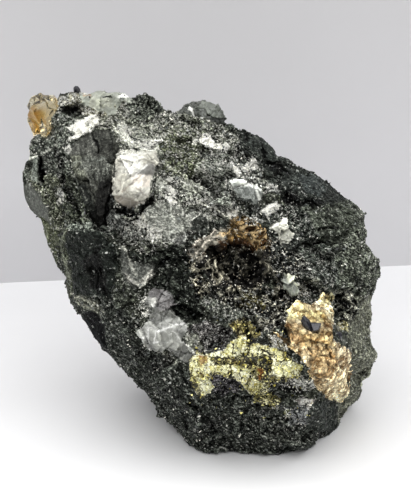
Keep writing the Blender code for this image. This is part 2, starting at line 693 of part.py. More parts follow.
def vug_crystal_meshes(tree):
    """Six-sided quartz points that stand on the vug's wall, each leaning its own way."""
    spread = random.Random(7)
    matrix = vug_frame(tree)
    crystals = []
    for i in range(VUG_CRYSTALS):
        angle = GOLDEN_ANGLE * i
        ring = math.sqrt((i + 0.6) / VUG_CRYSTALS)
        above = Vector((ring * math.cos(angle) * VUG_MOUTH[0], -14.0, ring * math.sin(angle) * VUG_MOUTH[1]))
        place, facing, _, _ = tree.ray_cast(matrix @ above, Vector((0, 1, 0)))
        length = spread.uniform(*VUG_CRYSTAL_LENGTHS)
        half = length * VUG_CRYSTAL_SLENDERNESS
        lean = Vector((spread.uniform(-0.5, 0.5), spread.uniform(-0.5, 0.1), spread.uniform(-0.5, 0.5)))
        frame = (facing + lean).normalized().to_track_quat("Z", "Y").to_matrix().to_4x4()
        corners = [
            (half * math.cos(k * math.pi / 3), half * math.sin(k * math.pi / 3), level)
            for k in range(6) for level in (-VUG_CRYSTAL_ROOT, length * 0.45)
        ]  # fmt: skip
        crystals.append(hull_of([*corners, (0, 0, length)], Matrix.Translation(place) @ frame))
    return crystals


# --- The specimen ------------------------------------------------------------------------------------------


def add_proud_minerals(tree, stand):
    """Adds the lumps and the single crystals; returns the slightly larger pockets that they sit in."""
    makers = {name: (kind, lump_meshes) for name, (kind, _) in LUMPS.items()}
    makers.update({name: ("cassiterite", cassiterite_meshes) for name in CASSITERITE_CRYSTALS})
    pockets = []
    for name, (kind, meshes) in makers.items():
        joined(name, meshes(tree, name, 0.0), stand, kind)
        pockets.append(joined(f"{name}_pocket", meshes(tree, name, GAP), stand))
    return pockets


def add_inlays(body_mesh, rock, pockets, stand):
    """Adds the minerals that are level with the rock, and cuts their room out of it."""
    for name, (outline, depth, kind) in INLAYS.items():
        inlay = add_object(name, body_mesh.copy(), stand, kind)
        add_boolean(inlay, add_object(f"{name}_space", prism(outline, IN_FRONT, depth), stand), "INTERSECT")
        for pocket in pockets:
            add_boolean(inlay, pocket, "DIFFERENCE")
        room = prism(grown(outline, GAP), IN_FRONT, depth + GAP)
        add_boolean(rock, add_object(f"{name}_pocket", room, stand), "DIFFERENCE")


def add_vug_crust(body_mesh, rock, pockets, tree, stand):
    """Adds the vug's lining with its crystals, and cuts its room out of the rock."""
    crust = add_object("vug_crust", body_mesh.copy(), stand, "vug_crust")
    space = add_object("vug_crust_space", vug_crust_mesh(tree, 0.0), stand)
    for i, crystal in enumerate(vug_crystal_meshes(tree)):
        add_boolean(crust, add_object(f"vug_crystal_{i}", crystal, stand), "UNION")
    add_boolean(crust, space, "INTERSECT")
    for pocket in pockets:
        add_boolean(crust, pocket, "DIFFERENCE")
    add_boolean(rock, add_object("vug_crust_pocket", vug_crust_mesh(tree, GAP), stand), "DIFFERENCE")


def main():
    clear_scene()
    stand = bpy.data.objects.new("stand", None)
    bpy.context.scene.collection.objects.link(stand)
    stand.rotation_euler.x = math.radians(-LEAN_DEG)
    stand.location.z = CENTRE_HEIGHT * MM

    body_mesh = thinned(rock_body(), BODY_TRIANGLES)
    cut_flat_below(body_mesh)
    bm = bmesh.new()
    bm.from_mesh(body_mesh)
    tree = BVHTree.FromBMesh(bm)
    bm.free()

    rock = add_object("rock_matrix", body_mesh.copy(), stand, "rock")
    pockets = add_proud_minerals(tree, stand)
    add_inlays(body_mesh, rock, pockets, stand)
    add_vug_crust(body_mesh, rock, pockets, tree, stand)
    for pocket in pockets:
        add_boolean(rock, pocket, "DIFFERENCE")
    for name, (seen, half_sizes, turn) in PITS.items():
        pit = broken_piece(half_sizes, PIT_FACES, name, seat(tree, seen, turn, 0.0))
        add_boolean(rock, add_object(name, pit, stand), "DIFFERENCE")
    keep_largest_body(rock)
    centre_over_origin(stand)


main()
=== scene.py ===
"""The cassiterite specimen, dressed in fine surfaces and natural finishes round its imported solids."""

import json
import math

import bmesh
import bpy
import numpy as np
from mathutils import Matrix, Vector
from mathutils.bvhtree import BVHTree

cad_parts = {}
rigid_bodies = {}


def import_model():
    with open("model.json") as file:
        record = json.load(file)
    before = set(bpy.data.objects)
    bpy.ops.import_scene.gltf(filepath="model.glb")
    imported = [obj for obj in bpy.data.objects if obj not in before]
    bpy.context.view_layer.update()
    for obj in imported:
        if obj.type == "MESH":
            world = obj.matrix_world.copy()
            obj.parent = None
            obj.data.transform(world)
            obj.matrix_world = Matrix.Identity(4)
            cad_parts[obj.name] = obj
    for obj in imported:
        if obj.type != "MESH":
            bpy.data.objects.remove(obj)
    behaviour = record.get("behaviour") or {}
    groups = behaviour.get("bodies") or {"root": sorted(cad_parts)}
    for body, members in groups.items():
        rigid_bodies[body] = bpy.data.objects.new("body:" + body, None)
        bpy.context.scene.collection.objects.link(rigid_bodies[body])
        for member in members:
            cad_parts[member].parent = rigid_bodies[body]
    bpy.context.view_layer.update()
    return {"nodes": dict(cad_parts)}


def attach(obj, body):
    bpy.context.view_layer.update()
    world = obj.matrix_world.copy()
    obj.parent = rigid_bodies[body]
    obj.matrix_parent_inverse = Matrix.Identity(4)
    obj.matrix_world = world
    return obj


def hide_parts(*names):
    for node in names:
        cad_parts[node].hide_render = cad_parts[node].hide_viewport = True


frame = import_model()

# The face frame: millimetres, X to the right, Y into the rock, Z up, leaned back and lifted as in the model.
MM = 0.001
LEAN = math.radians(20.0)
SHIFT = np.array([-0.4998, 2.1111, 33.0])
STATION = np.array([1.2, -300.0, 5.2])  # where the camera stands, in the face frame
PIXEL = 0.21  # width of a picture point on the plane y = 0
PICTURE_ZERO = np.array([199.8, 274.8])  # the picture point of the face frame's origin
PICTURE_LONG_SIDE = 500

VOXEL = 0.5  # size of the skin's quads before each is split in four
SKIN_SWELL = 0.35  # how far the grown-in minerals swell, to close the gaps round them
SKIN_SMOOTHING = 6  # rounds of smoothing for the whole skin
DOME_SMOOTHING = 60  # and for the quartz dome on top
EDGE_SMOOTHING = 6  # rounds that soften the edge of the dome
RELIEF_SMOOTHING = 3  # rounds that soften where rough rock meets a smooth zone
CAVITY_SMOOTHING = 12  # rounds that level the broken surface, to find its crevices
FRONT_LIMIT = 0.45  # the front skin takes in faces whose normal's y is below this
TOWARDS_LIMIT = 0.35  # relief and lines of the front end where the normal's y is at this
RIM_LIMIT = 0.85  # and the front's colours at this
TURN_EDGE = 0.3  # over this much of the normal's y before it
GROWN_LIMIT = 0.6  # a mineral grown into the rock takes in points whose normal's y is below this
QUAD_SIDES = [[0, 1], [1, 2], [2, 3], [3, 0]]
CELL_STEPS = [np.array(step) - 1 for step in np.ndindex(3, 3, 3)]  # from a cell to itself and its neighbours


def numbers(item):
    """A number, or a point as numbers with commas between them."""
    return tuple(float(n) for n in item.split(",")) if "," in item else float(item)


def table(text):
    """Rows of text as a dictionary. A row is a name, a colon and its fields, and goes on to the next name.
    Fields are parted by bars. Each is a list of numbers, or of points written as numbers with commas.
    """
    rows = {}
    for line in text.strip().splitlines():
        name, _, rest = line.rpartition(":")
        current = name or current
        rows[current] = rows.get(current, "") + " " + rest
    for name, row in rows.items():
        fields = [[numbers(item) for item in field.split()] for field in row.split("|")]
        rows[name] = fields if len(fields) > 1 else fields[0]
    return rows


def linear(tint):
    """A colour of 0 to 255 as a screen shows it, as linear light."""
    return np.array([((c / 255 + 0.055) / 1.055) ** 2.4 if c > 10 else c / 255 / 12.92 for c in tint])


# --- Places ---


def to_world(points):
    """Face-frame millimetres to the model's metres."""
    x, y, z = points.T
    cos, sin = math.cos(LEAN), math.sin(LEAN)
    return (np.column_stack([x, y * cos + z * sin, -y * sin + z * cos]) + SHIFT) * MM


def to_face(points):
    """The model's metres to face-frame millimetres."""
    x, y, z = (points / MM - SHIFT).T
    cos, sin = math.cos(LEAN), math.sin(LEAN)
    return np.column_stack([x, y * cos - z * sin, y * sin + z * cos])


def picture_of(points):
    """Where face-frame points are seen in the picture."""
    share = -STATION[1] / (points[:, 1] - STATION[1])
    seen = STATION[[0, 2]] + (points[:, [0, 2]] - STATION[[0, 2]]) * share[:, None]
    return PICTURE_ZERO + seen * [1, -1] / PIXEL


def placed(px, py, depth):
    """The face-frame point seen at a picture point, at this depth."""
    x, z = (np.array([px, py]) - PICTURE_ZERO) * [PIXEL, -PIXEL]
    return STATION + (np.array([x, 0.0, z]) - STATION) * (depth - STATION[1]) / -STATION[1]


def inside_distance(points, outline):
    """How far each 2-D point lies inside the outline, negative outside it."""
    corners = np.array(outline, float)
    nearest = np.full(len(points), np.inf)
    inside = np.zeros(len(points), bool)
    for a, b in zip(corners, np.roll(corners, -1, axis=0)):
        along = np.clip(((points - a) @ (b - a)) / ((b - a) @ (b - a)), 0, 1)
        nearest = np.minimum(nearest, np.linalg.norm(points - a - along[:, None] * (b - a), axis=1))
        crosses = (a[1] > points[:, 1]) != (b[1] > points[:, 1])
        rise = np.where(b[1] == a[1], 1.0, b[1] - a[1])
        inside ^= crosses & (points[:, 0] < (b[0] - a[0]) * (points[:, 1] - a[1]) / rise + a[0])
    return np.where(inside, nearest, -nearest)


def smooth_step(share):
    """A share held between 0 and 1 and eased at both ends."""
    share = np.clip(share, 0, 1)
    return share * share * (3 - 2 * share)


def cover(points, outline, edge):
    """How far each point belongs to an outline: 1 inside it, 0 outside, and between them over this edge."""
    return smooth_step(inside_distance(points, outline) / edge + 0.5)


def in_box(points, corners, margin):
    """Which points lie in the box round these corners, widened by a margin."""
    low, high = np.min(corners, axis=0) - margin, np.max(corners, axis=0) + margin
    return ((points > low) & (points < high)).all(axis=1)


def blend(rows, near, target, share):
    """Moves the chosen rows of an array towards a target, each by its share."""
    rows[near] += (target - rows[near]) * share[:, None]


# --- Patterns ---


def hashed(cells, salt):
    """A number from 0 to 1 for each whole-numbered cell (x, y, z)."""
    mask = np.int64(0xFFFFFFFF)
    n = (cells[..., 0] * 73856093) ^ (cells[..., 1] * 19349663) ^ (cells[..., 2] * 83492791) ^ (salt * 40503)
    n = ((n & mask) ^ ((n & mask) >> 15)) * 2246822519 & mask
    n = (n ^ (n >> 13)) * 3266489917 & mask
    return (n ^ (n >> 16)) / float(mask)


def soft_noise(points, size, salt=0):
    """Smooth noise from -1 to 1 with features of this size."""
    scaled = points / size
    corner = np.floor(scaled).astype(np.int64)
    share = smooth_step(scaled - corner)
    total = np.zeros(len(points))
    for step in np.ndindex(2, 2, 2):
        weight = np.prod(np.where(step, share, 1 - share), axis=1)
        total += weight * hashed(corner + np.array(step), salt)
    return total * 2 - 1


def hashed_three(cells, salt, first):
    """Three numbers from 0 to 1 for each cell."""
    return np.column_stack([hashed(cells, salt + first + k) for k in range(3)])


def near_cells(points, size, salt):
    """The cells round each point, one after the other, with the way from the cell's middle to the point."""
    scaled = points / size
    home = np.floor(scaled).astype(np.int64)
    for step in CELL_STEPS:
        cell = home + step
        yield cell, scaled - (cell + hashed_three(cell, salt, 1))


def cell_pattern(points, size, salt=0):
    """For each point its cell: the offset from the cell's middle, its distance, and the cell's key."""
    nearest = np.full(len(points), np.inf)
    offset = np.zeros(points.shape)
    key = np.zeros(points.shape, np.int64)
    for cell, away in near_cells(points, size, salt):
        distance = (away**2).sum(axis=1)
        closer = distance < nearest
        nearest = np.where(closer, distance, nearest)
        offset[closer] = away[closer]
        key[closer] = cell[closer]
    return offset, np.sqrt(nearest), key


def cell_walls(points, size, salt=0):
    """For each point how far it lies from the wall of its cell: 0 on the wall, about 0.5 in the middle."""
    first, second = np.full(len(points), np.inf), np.full(len(points), np.inf)
    for _, away in near_cells(points, size, salt):
        distance = np.linalg.norm(away, axis=1)
        second = np.minimum(second, np.maximum(first, distance))
        first = np.minimum(first, distance)
    return second - first


def chips(points, size, salt=0, tilt=1.0, step=0.5):
    """Height of a surface broken into flat chips of this size, each with its own tilt and level."""
    offset, _, key = cell_pattern(points, size, salt)
    slope = hashed_three(key, salt, 4) * 2 - 1
    return tilt * (slope * offset).sum(axis=1) + step * (hashed(key, salt + 7) * 2 - 1)


# --- Meshes as arrays ---


def sides_of(quads):
    """The quads' sides as pairs of vertex numbers, the lower one first."""
    return np.sort(quads[:, QUAD_SIDES].reshape(-1, 2), axis=1)


def largest_piece(vertices, quads):
    """Keeps only the largest connected piece."""
    edges = sides_of(quads)
    label = np.arange(len(vertices))
    while True:
        low = np.minimum(label[edges[:, 0]], label[edges[:, 1]])
        fresh = label.copy()
        np.minimum.at(fresh, edges[:, 0], low)
        np.minimum.at(fresh, edges[:, 1], low)
        fresh = fresh[fresh]
        if (fresh == label).all():
            break
        label = fresh
    main = np.bincount(label).argmax()
    return used_only(vertices, quads[label[quads[:, 0]] == main])


def used_only(vertices, faces):
    """Drops the vertices that no face uses."""
    used, faces = np.unique(faces, return_inverse=True)
    return vertices[used], faces.reshape(-1, 4)


def normals_of(vertices, quads):
    """The vertices' normals."""
    a, b, c, d = (vertices[quads[:, k]] for k in range(4))
    facing = np.cross(c - a, d - b)
    normals = np.zeros_like(vertices)
    for k in range(4):
        np.add.at(normals, quads[:, k], facing)
    return normals / np.maximum(np.linalg.norm(normals, axis=1), 1e-12)[:, None]


def smoothed(vertices, quads, rounds, factor=0.5):
    """The vertices' places or values, each moved towards the mean of its neighbours in every round."""
    edges = np.unique(sides_of(quads), axis=0)
    count = np.maximum(np.bincount(edges.ravel(), minlength=len(vertices)), 1)
    for _ in range(rounds):
        total = np.zeros_like(vertices)
        np.add.at(total, edges[:, 0], vertices[edges[:, 1]])
        np.add.at(total, edges[:, 1], vertices[edges[:, 0]])
        vertices = vertices + factor * (total / count[:, None] - vertices)
    return vertices


def refined(vertices, quads):
    """Each quad split in four."""
    edges, where = np.unique(sides_of(quads), axis=0, return_inverse=True)
    where = where.reshape(-1, 4) + len(vertices)
    middles = vertices[edges].mean(axis=1)
    centres = vertices[quads].mean(axis=1)
    centre = np.arange(len(quads)) + len(vertices) + len(edges)
    made = [np.column_stack([quads[:, k], where[:, k], centre, where[:, (k + 3) % 4]]) for k in range(4)]
    return np.concatenate([vertices, middles, centres]), np.concatenate(made)


def node_bmesh(name, swell=0.0):
    """A CAD node's mesh in the face frame, welded, and swollen by this much."""
    bm = bmesh.new()
    bm.from_mesh(frame["nodes"][name].data)
    bmesh.ops.remove_doubles(bm, verts=bm.verts, dist=1e-6)
    places = to_face(np.array([v.co for v in bm.verts]))
    for vertex, place in zip(bm.verts, places):
        vertex.co = place
    bmesh.ops.recalc_face_normals(bm, faces=bm.faces)
    bm.normal_update()
    for vertex in bm.verts:
        vertex.co += vertex.normal * swell
    return bm


def near_solid(name, points, margin, swell=0.0):
    """Which points lie in a CAD node's box, widened by a margin, and how far those are from the node."""
    bm = node_bmesh(name, swell)
    tree = BVHTree.FromBMesh(bm)
    near = in_box(points, np.array([v.co for v in bm.verts]), margin)
    bm.free()
    return near, np.array([tree.find_nearest(Vector(point))[3] for point in points[near]])


def voxel_skin(meshes, voxel):
    """One closed skin of quads round a list of meshes in the face frame."""
    bm = bmesh.new()
    for part in meshes:
        mesh = bpy.data.meshes.new("part")
        part.to_mesh(mesh)
        part.free()
        bm.from_mesh(mesh)
        bpy.data.meshes.remove(mesh)
    mesh = bpy.data.meshes.new("skin")
    bm.to_mesh(mesh)
    bm.free()
    holder = bpy.data.objects.new("skin", mesh)
    bpy.context.scene.collection.objects.link(holder)
    modifier = holder.modifiers.new("voxels", "REMESH")
    modifier.mode = "VOXEL"
    modifier.voxel_size = voxel
    bpy.context.view_layer.update()
    made = bpy.data.meshes.new_from_object(holder.evaluated_get(bpy.context.evaluated_depsgraph_get()))
    bpy.data.objects.remove(holder)
    vertices = np.empty(len(made.vertices) * 3, np.float32)
    made.vertices.foreach_get("co", vertices)
    quads = np.empty(len(made.loops), np.int32)
    made.loops.foreach_get("vertex_index", quads)
    assert len(quads) == 4 * len(made.polygons)
    bpy.data.meshes.remove(made)
    return largest_piece(vertices.reshape(-1, 3).astype(float), quads.reshape(-1, 4).astype(np.int64))


def add_piece(name, vertices, faces, finish, nodes=(), colours=None):
    """A flat-shaded piece from face-frame arrays. faces are rows of vertex numbers, all of one length."""
    mesh = bpy.data.meshes.new(name)
    places = to_world(vertices)
    places[:, 2] = np.maximum(places[:, 2], 0.0)  # nothing goes below the floor
    corners = faces.shape[1]
    mesh.vertices.add(len(places))
    mesh.vertices.foreach_set("co", places.astype(np.float32).ravel())
    mesh.loops.add(faces.size)
    mesh.loops.foreach_set("vertex_index", faces.astype(np.int32).ravel())
    mesh.polygons.add(len(faces))
    mesh.polygons.foreach_set("loop_start", np.arange(0, faces.size, corners, dtype=np.int32))
    mesh.polygons.foreach_set("use_smooth", np.zeros(len(faces), bool))
    mesh.update()
    mesh.validate()
    for key, values in (colours or {}).items():
        rows = np.column_stack([values, np.ones(len(values))]) if values.shape[1] == 3 else values
        layer = mesh.color_attributes.new(key, "FLOAT_COLOR", "POINT")
        layer.data.foreach_set("color", rows.astype(np.float32).ravel())
    mesh.materials.append(finish)
    piece = bpy.data.objects.new(name, mesh)
    bpy.context.scene.collection.objects.link(piece)
    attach(piece, "root")
    if nodes:
        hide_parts(*nodes)
    return piece


# --- Finishes ---

WHITE = (1.0, 1.0, 1.0)
MIDDLE = (0.5, 0.5, 0.5)  # the mean of a random colour or vector


class Finish:
    """A Principled material and its nodes. Patterns are measured in millimetres of the model."""

    def __init__(self, name, **sockets):
        self.material = bpy.data.materials.new(name)
        self.material.use_nodes = True
        self.tree = self.material.node_tree
        self.shader = self.tree.nodes["Principled BSDF"]
        for socket, value in sockets.items():
            self.shader.inputs[socket.replace("_", " ")].default_value = value
        place = self.node("ShaderNodeTexCoord").outputs["Object"]
        self.place = self.vector("MULTIPLY", place, (1 / MM,) * 3)

    def node(self, kind, inputs=None, **settings):
        """A node of this kind. Its inputs are values or other nodes' outputs."""
        made = self.tree.nodes.new(kind)
        for key, value in settings.items():
            setattr(made, key, value)
        for key, value in (inputs or {}).items():
            self.wire(value, made.inputs[key])
        return made

    def wire(self, value, socket):
        if isinstance(value, bpy.types.NodeSocket):
            self.tree.links.new(value, socket)
        else:
            socket.default_value = value

    def vector(self, operation, a, b):
        made = self.node("ShaderNodeVectorMath", {0: a, 1: b}, operation=operation)
        return made.outputs["Value" if operation == "DOT_PRODUCT" else "Vector"]

    def math(self, operation, a, b=0.0, clamp=False):
        return self.node("ShaderNodeMath", {0: a, 1: b}, operation=operation, use_clamp=clamp).outputs[0]

    def times(self, a, b):
        """A number times another."""
        return self.math("MULTIPLY", a, b)

    def plus(self, a, b):
        """A number plus another."""
        return self.math("ADD", a, b)

    def tinted(self, colour, tone):
        """A colour times a tone."""
        return self.mix(1.0, colour, tone, "MULTIPLY")

    def spread(self, value, low, high):
        """A number of 0 to 1 as one from low to high."""
        return self.ranged(value, 0.0, 1.0, low, high)

    def swing(self, noise, low=0.0, high=1.0):
        """Noise, whose values are mostly 0.3 to 0.7, as a number from low to high."""
        return self.ranged(noise, 0.3, 0.7, low, high)

    def ranged(self, value, low, high, to_low=0.0, to_high=1.0):
        """A value that runs from low to high, as one from to_low to to_high."""
        inputs = {0: value, 1: low, 2: high, 3: to_low, 4: to_high}
        return self.node("ShaderNodeMapRange", inputs).outputs[0]

    def mix(self, share, a, b, blend="MIX"):
        made = self.node("ShaderNodeMix", data_type="RGBA", blend_type=blend)
        for value, socket in ((share, made.inputs[0]), (a, made.inputs[6]), (b, made.inputs[7])):
            self.wire((*value, 1.0) if isinstance(value, tuple) and len(value) == 3 else value, socket)
        return made.outputs[2]

    def ramp(self, value, stops):
        """A value of 0 to 1 as a colour or a grey from these stops."""
        made = self.node("ShaderNodeValToRGB", {0: value})
        elements = made.color_ramp.elements
        for place, colour in stops[2:]:
            elements.new(place)
        for element, (place, colour) in zip(elements, stops):
            element.position = place
            element.color = (*colour, 1.0) if isinstance(colour, tuple) else (colour, colour, colour, 1.0)
        return made.outputs[0]

    def noise(self, size, detail=2.0, stretch=(1.0, 1.0, 1.0), turn=0.0):
        """Noise of this size, its grain pulled out along the axes and turned on the face."""
        scale = tuple(size / s for s in stretch)
        inputs = {"Vector": self.place, "Rotation": (0.0, turn, 0.0), "Scale": scale}
        place = self.node("ShaderNodeMapping", inputs, vector_type="TEXTURE").outputs[0]
        return self.node("ShaderNodeTexNoise", {"Vector": place, "Scale": 1.0, "Detail": detail}).outputs[0]

    def bent(self, reach):
        """The place, shifted by fine noise, so that cells come out ragged."""
        made = self.node("ShaderNodeTexNoise", {"Vector": self.place, "Scale": 2.2, "Detail": 2.0}).outputs[1]
        shift = self.vector("MULTIPLY", self.vector("SUBTRACT", made, MIDDLE), (reach,) * 3)
        return self.vector("ADD", self.place, shift)

    def seams(self, size, place):
        """How far, in cells of this size, each place lies from the seam between them; 0 on the seam."""
        inputs = {"Vector": self.vector("MULTIPLY", place, (1 / size,) * 3), "Scale": 1.0}
        return self.node("ShaderNodeTexVoronoi", inputs, feature="DISTANCE_TO_EDGE").outputs["Distance"]

    def cells(self, size, place=None):
        """Cells of this size: three random numbers for each, and the height of flat chips that fill them."""
        place = self.vector("MULTIPLY", place or self.place, (1 / size,) * 3)
        made = self.node("ShaderNodeTexVoronoi", {"Vector": place, "Scale": 1.0})
        offset = self.vector("SUBTRACT", place, made.outputs["Position"])
        slope = self.vector("SUBTRACT", made.outputs["Color"], MIDDLE)
        height = self.times(self.vector("DOT_PRODUCT", offset, slope), size)
        return *self.parts(made.outputs["Color"]), height

    def painted(self, key):
        """What the skin is painted with: its ground colour, or grain (share of quartz, gloss and relief)."""
        return self.node("ShaderNodeAttribute", attribute_name=key).outputs["Color"]

    def parts(self, colour):
        return self.node("ShaderNodeSeparateColor", {0: colour}).outputs[:3]

    def bump(self, height, strength=1.0):
        """Relief from a height in millimetres."""
        made = self.node("ShaderNodeBump", {"Height": height, "Strength": strength, "Distance": MM})
        self.wire(made.outputs[0], self.shader.inputs["Normal"])

    def colour(self, value):
        self.wire(value, self.shader.inputs["Base Color"])

    def roughness(self, value):
        self.wire(value, self.shader.inputs["Roughness"])


ROCK_TONE = 0.78  # how dark the rock is as a whole
EVEN_SHARES = [  # turns the sum of three random numbers back into one whose values are equally likely
    (0.15, 0.0), (0.3, 0.1), (0.4, 0.26), (0.5, 0.5), (0.6, 0.74), (0.7, 0.9), (0.85, 1.0),
]
FABRIC_TURN = math.radians(32)  # how the rock's worm-like grains are turned on the face
SLAB_TURN = math.radians(-12)  # the same for the slab's streaks
FIBRE_TURN = math.radians(-35)  # and for the fibres in quartz
CRACK_SPACING = 1 / 0.55  # millimetres between the cracks in quartz


def rock_finish():
    """Chlorite rock: dark and grey-green grains with white quartz among them, some of them glinting."""
    it = Finish("chlorite_rock", Specular_IOR_Level=0.05)
    ground = it.painted("ground")
    share, gloss, contrast = it.parts(it.painted("grain"))
    _, r2, r3, chips1 = it.cells(0.5)
    f1, f2, f3, chips2 = it.cells(0.23)
    cluster = it.mix(it.ranged(share, 0.35, 0.6), it.ranged(it.noise(1.4, 3.0), 0.4, 0.6, 0.3, 1.6), WHITE)
    share = it.times(share, cluster)
    worms = it.swing(it.noise(0.42, 3.0, (0.4, 1.0, 1.0), FABRIC_TURN))
    level = it.plus(it.times(worms, 0.42), it.times(r2, 0.2))
    level = it.plus(level, it.times(f1, 0.38))
    even = it.ramp(level, EVEN_SHARES)
    tone = it.ramp(even, [(0.0, 0.015), (0.15, 0.1), (0.4, 0.45), (0.65, 1.0), (0.85, 2.1), (1.0, 4.5)])
    soft = it.ramp(even, [(0.0, 0.6), (0.15, 0.72), (0.4, 0.88), (0.65, 1.0), (0.85, 1.15), (1.0, 1.5)])
    tone = it.mix(contrast, soft, tone)
    _, facet, _, _ = it.cells(1.5, it.bent(1.6))
    patch = it.times(it.swing(it.noise(2.2, 3.0), 0.7, 1.3), it.spread(facet, 0.48, 1.52))
    patch = it.mix(contrast, WHITE, patch)
    tone = it.tinted(it.tinted(tone, patch), (ROCK_TONE,) * 3)
    rock = it.tinted(ground, tone)
    low, high = it.ranged(share, 0.3, 0.9, 0.2, 0.62), it.ranged(share, 0.3, 0.9, 0.52, 1.0)
    white = it.spread(f2, low, high)
    quartz = it.tinted(it.mix(f3, (1.0, 1.0, 0.88), (1.0, 0.98, 0.94)), white)
    is_quartz = it.ranged(it.plus(even, share), 0.96, 1.04)
    it.colour(it.mix(is_quartz, rock, quartz))
    rough = it.plus(it.spread(r3, 0.3, 0.75), it.ranged(contrast, 0.0, 0.5, 0.35, 0.0))
    it.roughness(it.math("SUBTRACT", rough, it.times(gloss, 0.2), True))
    relief = it.plus(it.times(chips1, 0.8), it.times(chips2, 0.6))
    it.bump(it.times(relief, it.ranged(contrast, 0.0, 0.6, 0.25, 1.0)), 0.8)
    return it.material


DULL_BRASS = [
    (0.0, (0.10, 0.085, 0.03)), (0.4, (0.42, 0.38, 0.16)),
    (0.65, (0.80, 0.76, 0.42)), (1.0, (1.0, 0.98, 0.66)),
]
# The pale brass of fresh chalcopyrite; its palest, near-white stops are also painted highlights of the metal.
BRIGHT_BRASS = [
    (0.0, (0.60, 0.55, 0.22)), (0.25, (0.95, 0.93, 0.50)),
    (0.5, (1.0, 1.0, 0.66)), (1.0, (1.0, 1.0, 0.86)),
]


def brass_finish():
    """Chalcopyrite: pale brassy metal, hackly, tarnished in places, with black seams and rock among it."""
    it = Finish("chalcopyrite", Specular_IOR_Level=0.3)
    ground = it.painted("ground")
    metal, rust, _ = it.parts(it.painted("grain"))
    bent = it.bent(1.2)
    r1, r2, r3, chips1 = it.cells(1.1, bent)
    f1, f2, _, chips2 = it.cells(0.3)
    fine_seam = it.ranged(it.seams(0.55, bent), 0.0, 0.09, 0.45, 1.0)
    seam = it.math("MINIMUM", it.ranged(it.seams(1.1, bent), 0.02, 0.1), fine_seam)
    pale = it.ranged(metal, 0.5, 0.9)
    level = it.plus(it.times(r2, 0.6), it.times(f2, 0.4))
    brass = it.mix(pale, it.ramp(level, DULL_BRASS), it.ramp(level, BRIGHT_BRASS))
    brass = it.mix(it.ranged(it.noise(1.4, 4.0), 0.6, 0.72), brass, (0.32, 0.28, 0.10))
    stone = it.tinted(ground, it.spread(f1, 0.1, 1.6))
    chance = it.plus(it.times(r1, 0.4), it.times(f1, 0.6))
    open_seam = it.mix(pale, seam, it.ranged(seam, 0.0, 0.6))
    is_metal = it.times(it.ranged(it.plus(chance, metal), 0.96, 1.04), open_seam)
    it.colour(it.mix(is_metal, stone, it.mix(rust, brass, (0.30, 0.13, 0.02))))
    shine = it.math("SUBTRACT", 0.2, it.times(rust, 0.2), True)
    it.wire(it.times(is_metal, shine), it.shader.inputs["Metallic"])
    it.roughness(it.mix(is_metal, it.spread(r3, 0.4, 0.8), it.spread(r3, 0.25, 0.5)))
    it.bump(it.plus(it.times(chips1, 0.8), it.times(chips2, 0.8)), 1.0)
    return it.material


def crust_finish():
    """Iron-stained crust: fine nodules from cream to rusty brown, with dark seams between them."""
    it = Finish("iron_crust", Specular_IOR_Level=0.12)
    ground = it.painted("ground")
    bent = it.bent(0.8)
    r1, _, r3, chips1 = it.cells(1.1, bent)
    f1, _, _, chips2 = it.cells(0.45, bent)
    level = it.plus(it.times(r1, 0.62), it.times(f1, 0.38))
    tone = it.ramp(level, [
        (0.0, (0.10, 0.06, 0.03)), (0.2, (0.34, 0.26, 0.17)), (0.38, (0.72, 0.67, 0.59)),
        (0.6, (0.98, 1.0, 0.96)), (1.0, (1.3, 1.42, 1.5)),
    ])
    fine_seam = it.ranged(it.seams(0.45, bent), 0.0, 0.12, 0.6, 1.0)
    seam = it.math("MINIMUM", it.ranged(it.seams(1.1, bent), 0.0, 0.16, 0.3, 1.0), fine_seam)
    colour = it.tinted(it.tinted(ground, tone), seam)
    colour = it.mix(it.ranged(it.noise(1.3, 5.0), 0.58, 0.66), colour, it.tinted(colour, (0.72, 0.60, 0.46)))
    it.colour(colour)
    it.roughness(it.spread(r3, 0.35, 0.8))
    it.bump(it.plus(chips1, it.times(chips2, 0.8)), 0.8)
    return it.material


def slab_finish():
    """A dull broken face of cassiterite: near black, finely striated, greyer in patches."""
    it = Finish("cassiterite_slab", Specular_IOR_Level=0.08)
    ground = it.painted("ground")
    f1, f2, _, facets = it.cells(0.22)
    streaks = it.noise(0.45, 4.0, (1.0, 0.3, 0.3), SLAB_TURN)
    grains = it.ramp(f1, [(0.0, 0.4), (0.5, 0.9), (0.85, 1.3), (1.0, 2.8)])
    tone = it.times(it.times(grains, it.swing(streaks, 0.25, 1.7)), it.swing(it.noise(2.4, 4.0), 0.5, 1.5))
    it.colour(it.tinted(ground, tone))
    it.roughness(it.spread(f2, 0.35, 0.6))
    it.bump(it.plus(it.times(facets, 0.5), it.times(streaks, 0.12)), 0.7)
    return it.material


def quartz_finish(name, crack=0.25, roughness=(0.2, 0.45), depth=0.25, fibres=0.0):
    """Quartz: the painted colour, with clouded patches, fine bright cracks inside it and darker fibres."""
    it = Finish(name, Subsurface_Weight=depth, Subsurface_Radius=(0.8, 0.8, 0.8), Subsurface_Scale=MM)
    ground = it.painted("ground")
    cloud = it.noise(1.6, 5.0)
    r1, _, _, facets = it.cells(1.1)
    cracks = it.times(it.ranged(it.seams(CRACK_SPACING, it.place), 0.05, 0.0), crack)
    colour = it.tinted(ground, it.swing(cloud, 0.75, 1.2))
    strands = it.noise(1.0, 4.0, (0.35, 1.0, 1.5), FIBRE_TURN)
    colour = it.tinted(colour, it.ranged(strands, 0.32, 0.5, 1.0 - fibres, 1.0))
    it.colour(it.mix(cracks, colour, (0.85, 0.85, 0.83)))
    it.roughness(it.ranged(r1, 0.0, 1.0, *roughness))
    relief = it.plus(it.times(cloud, 0.3), it.times(strands, fibres))
    it.bump(it.plus(it.times(facets, 0.35), relief), 0.6)
    return it.material


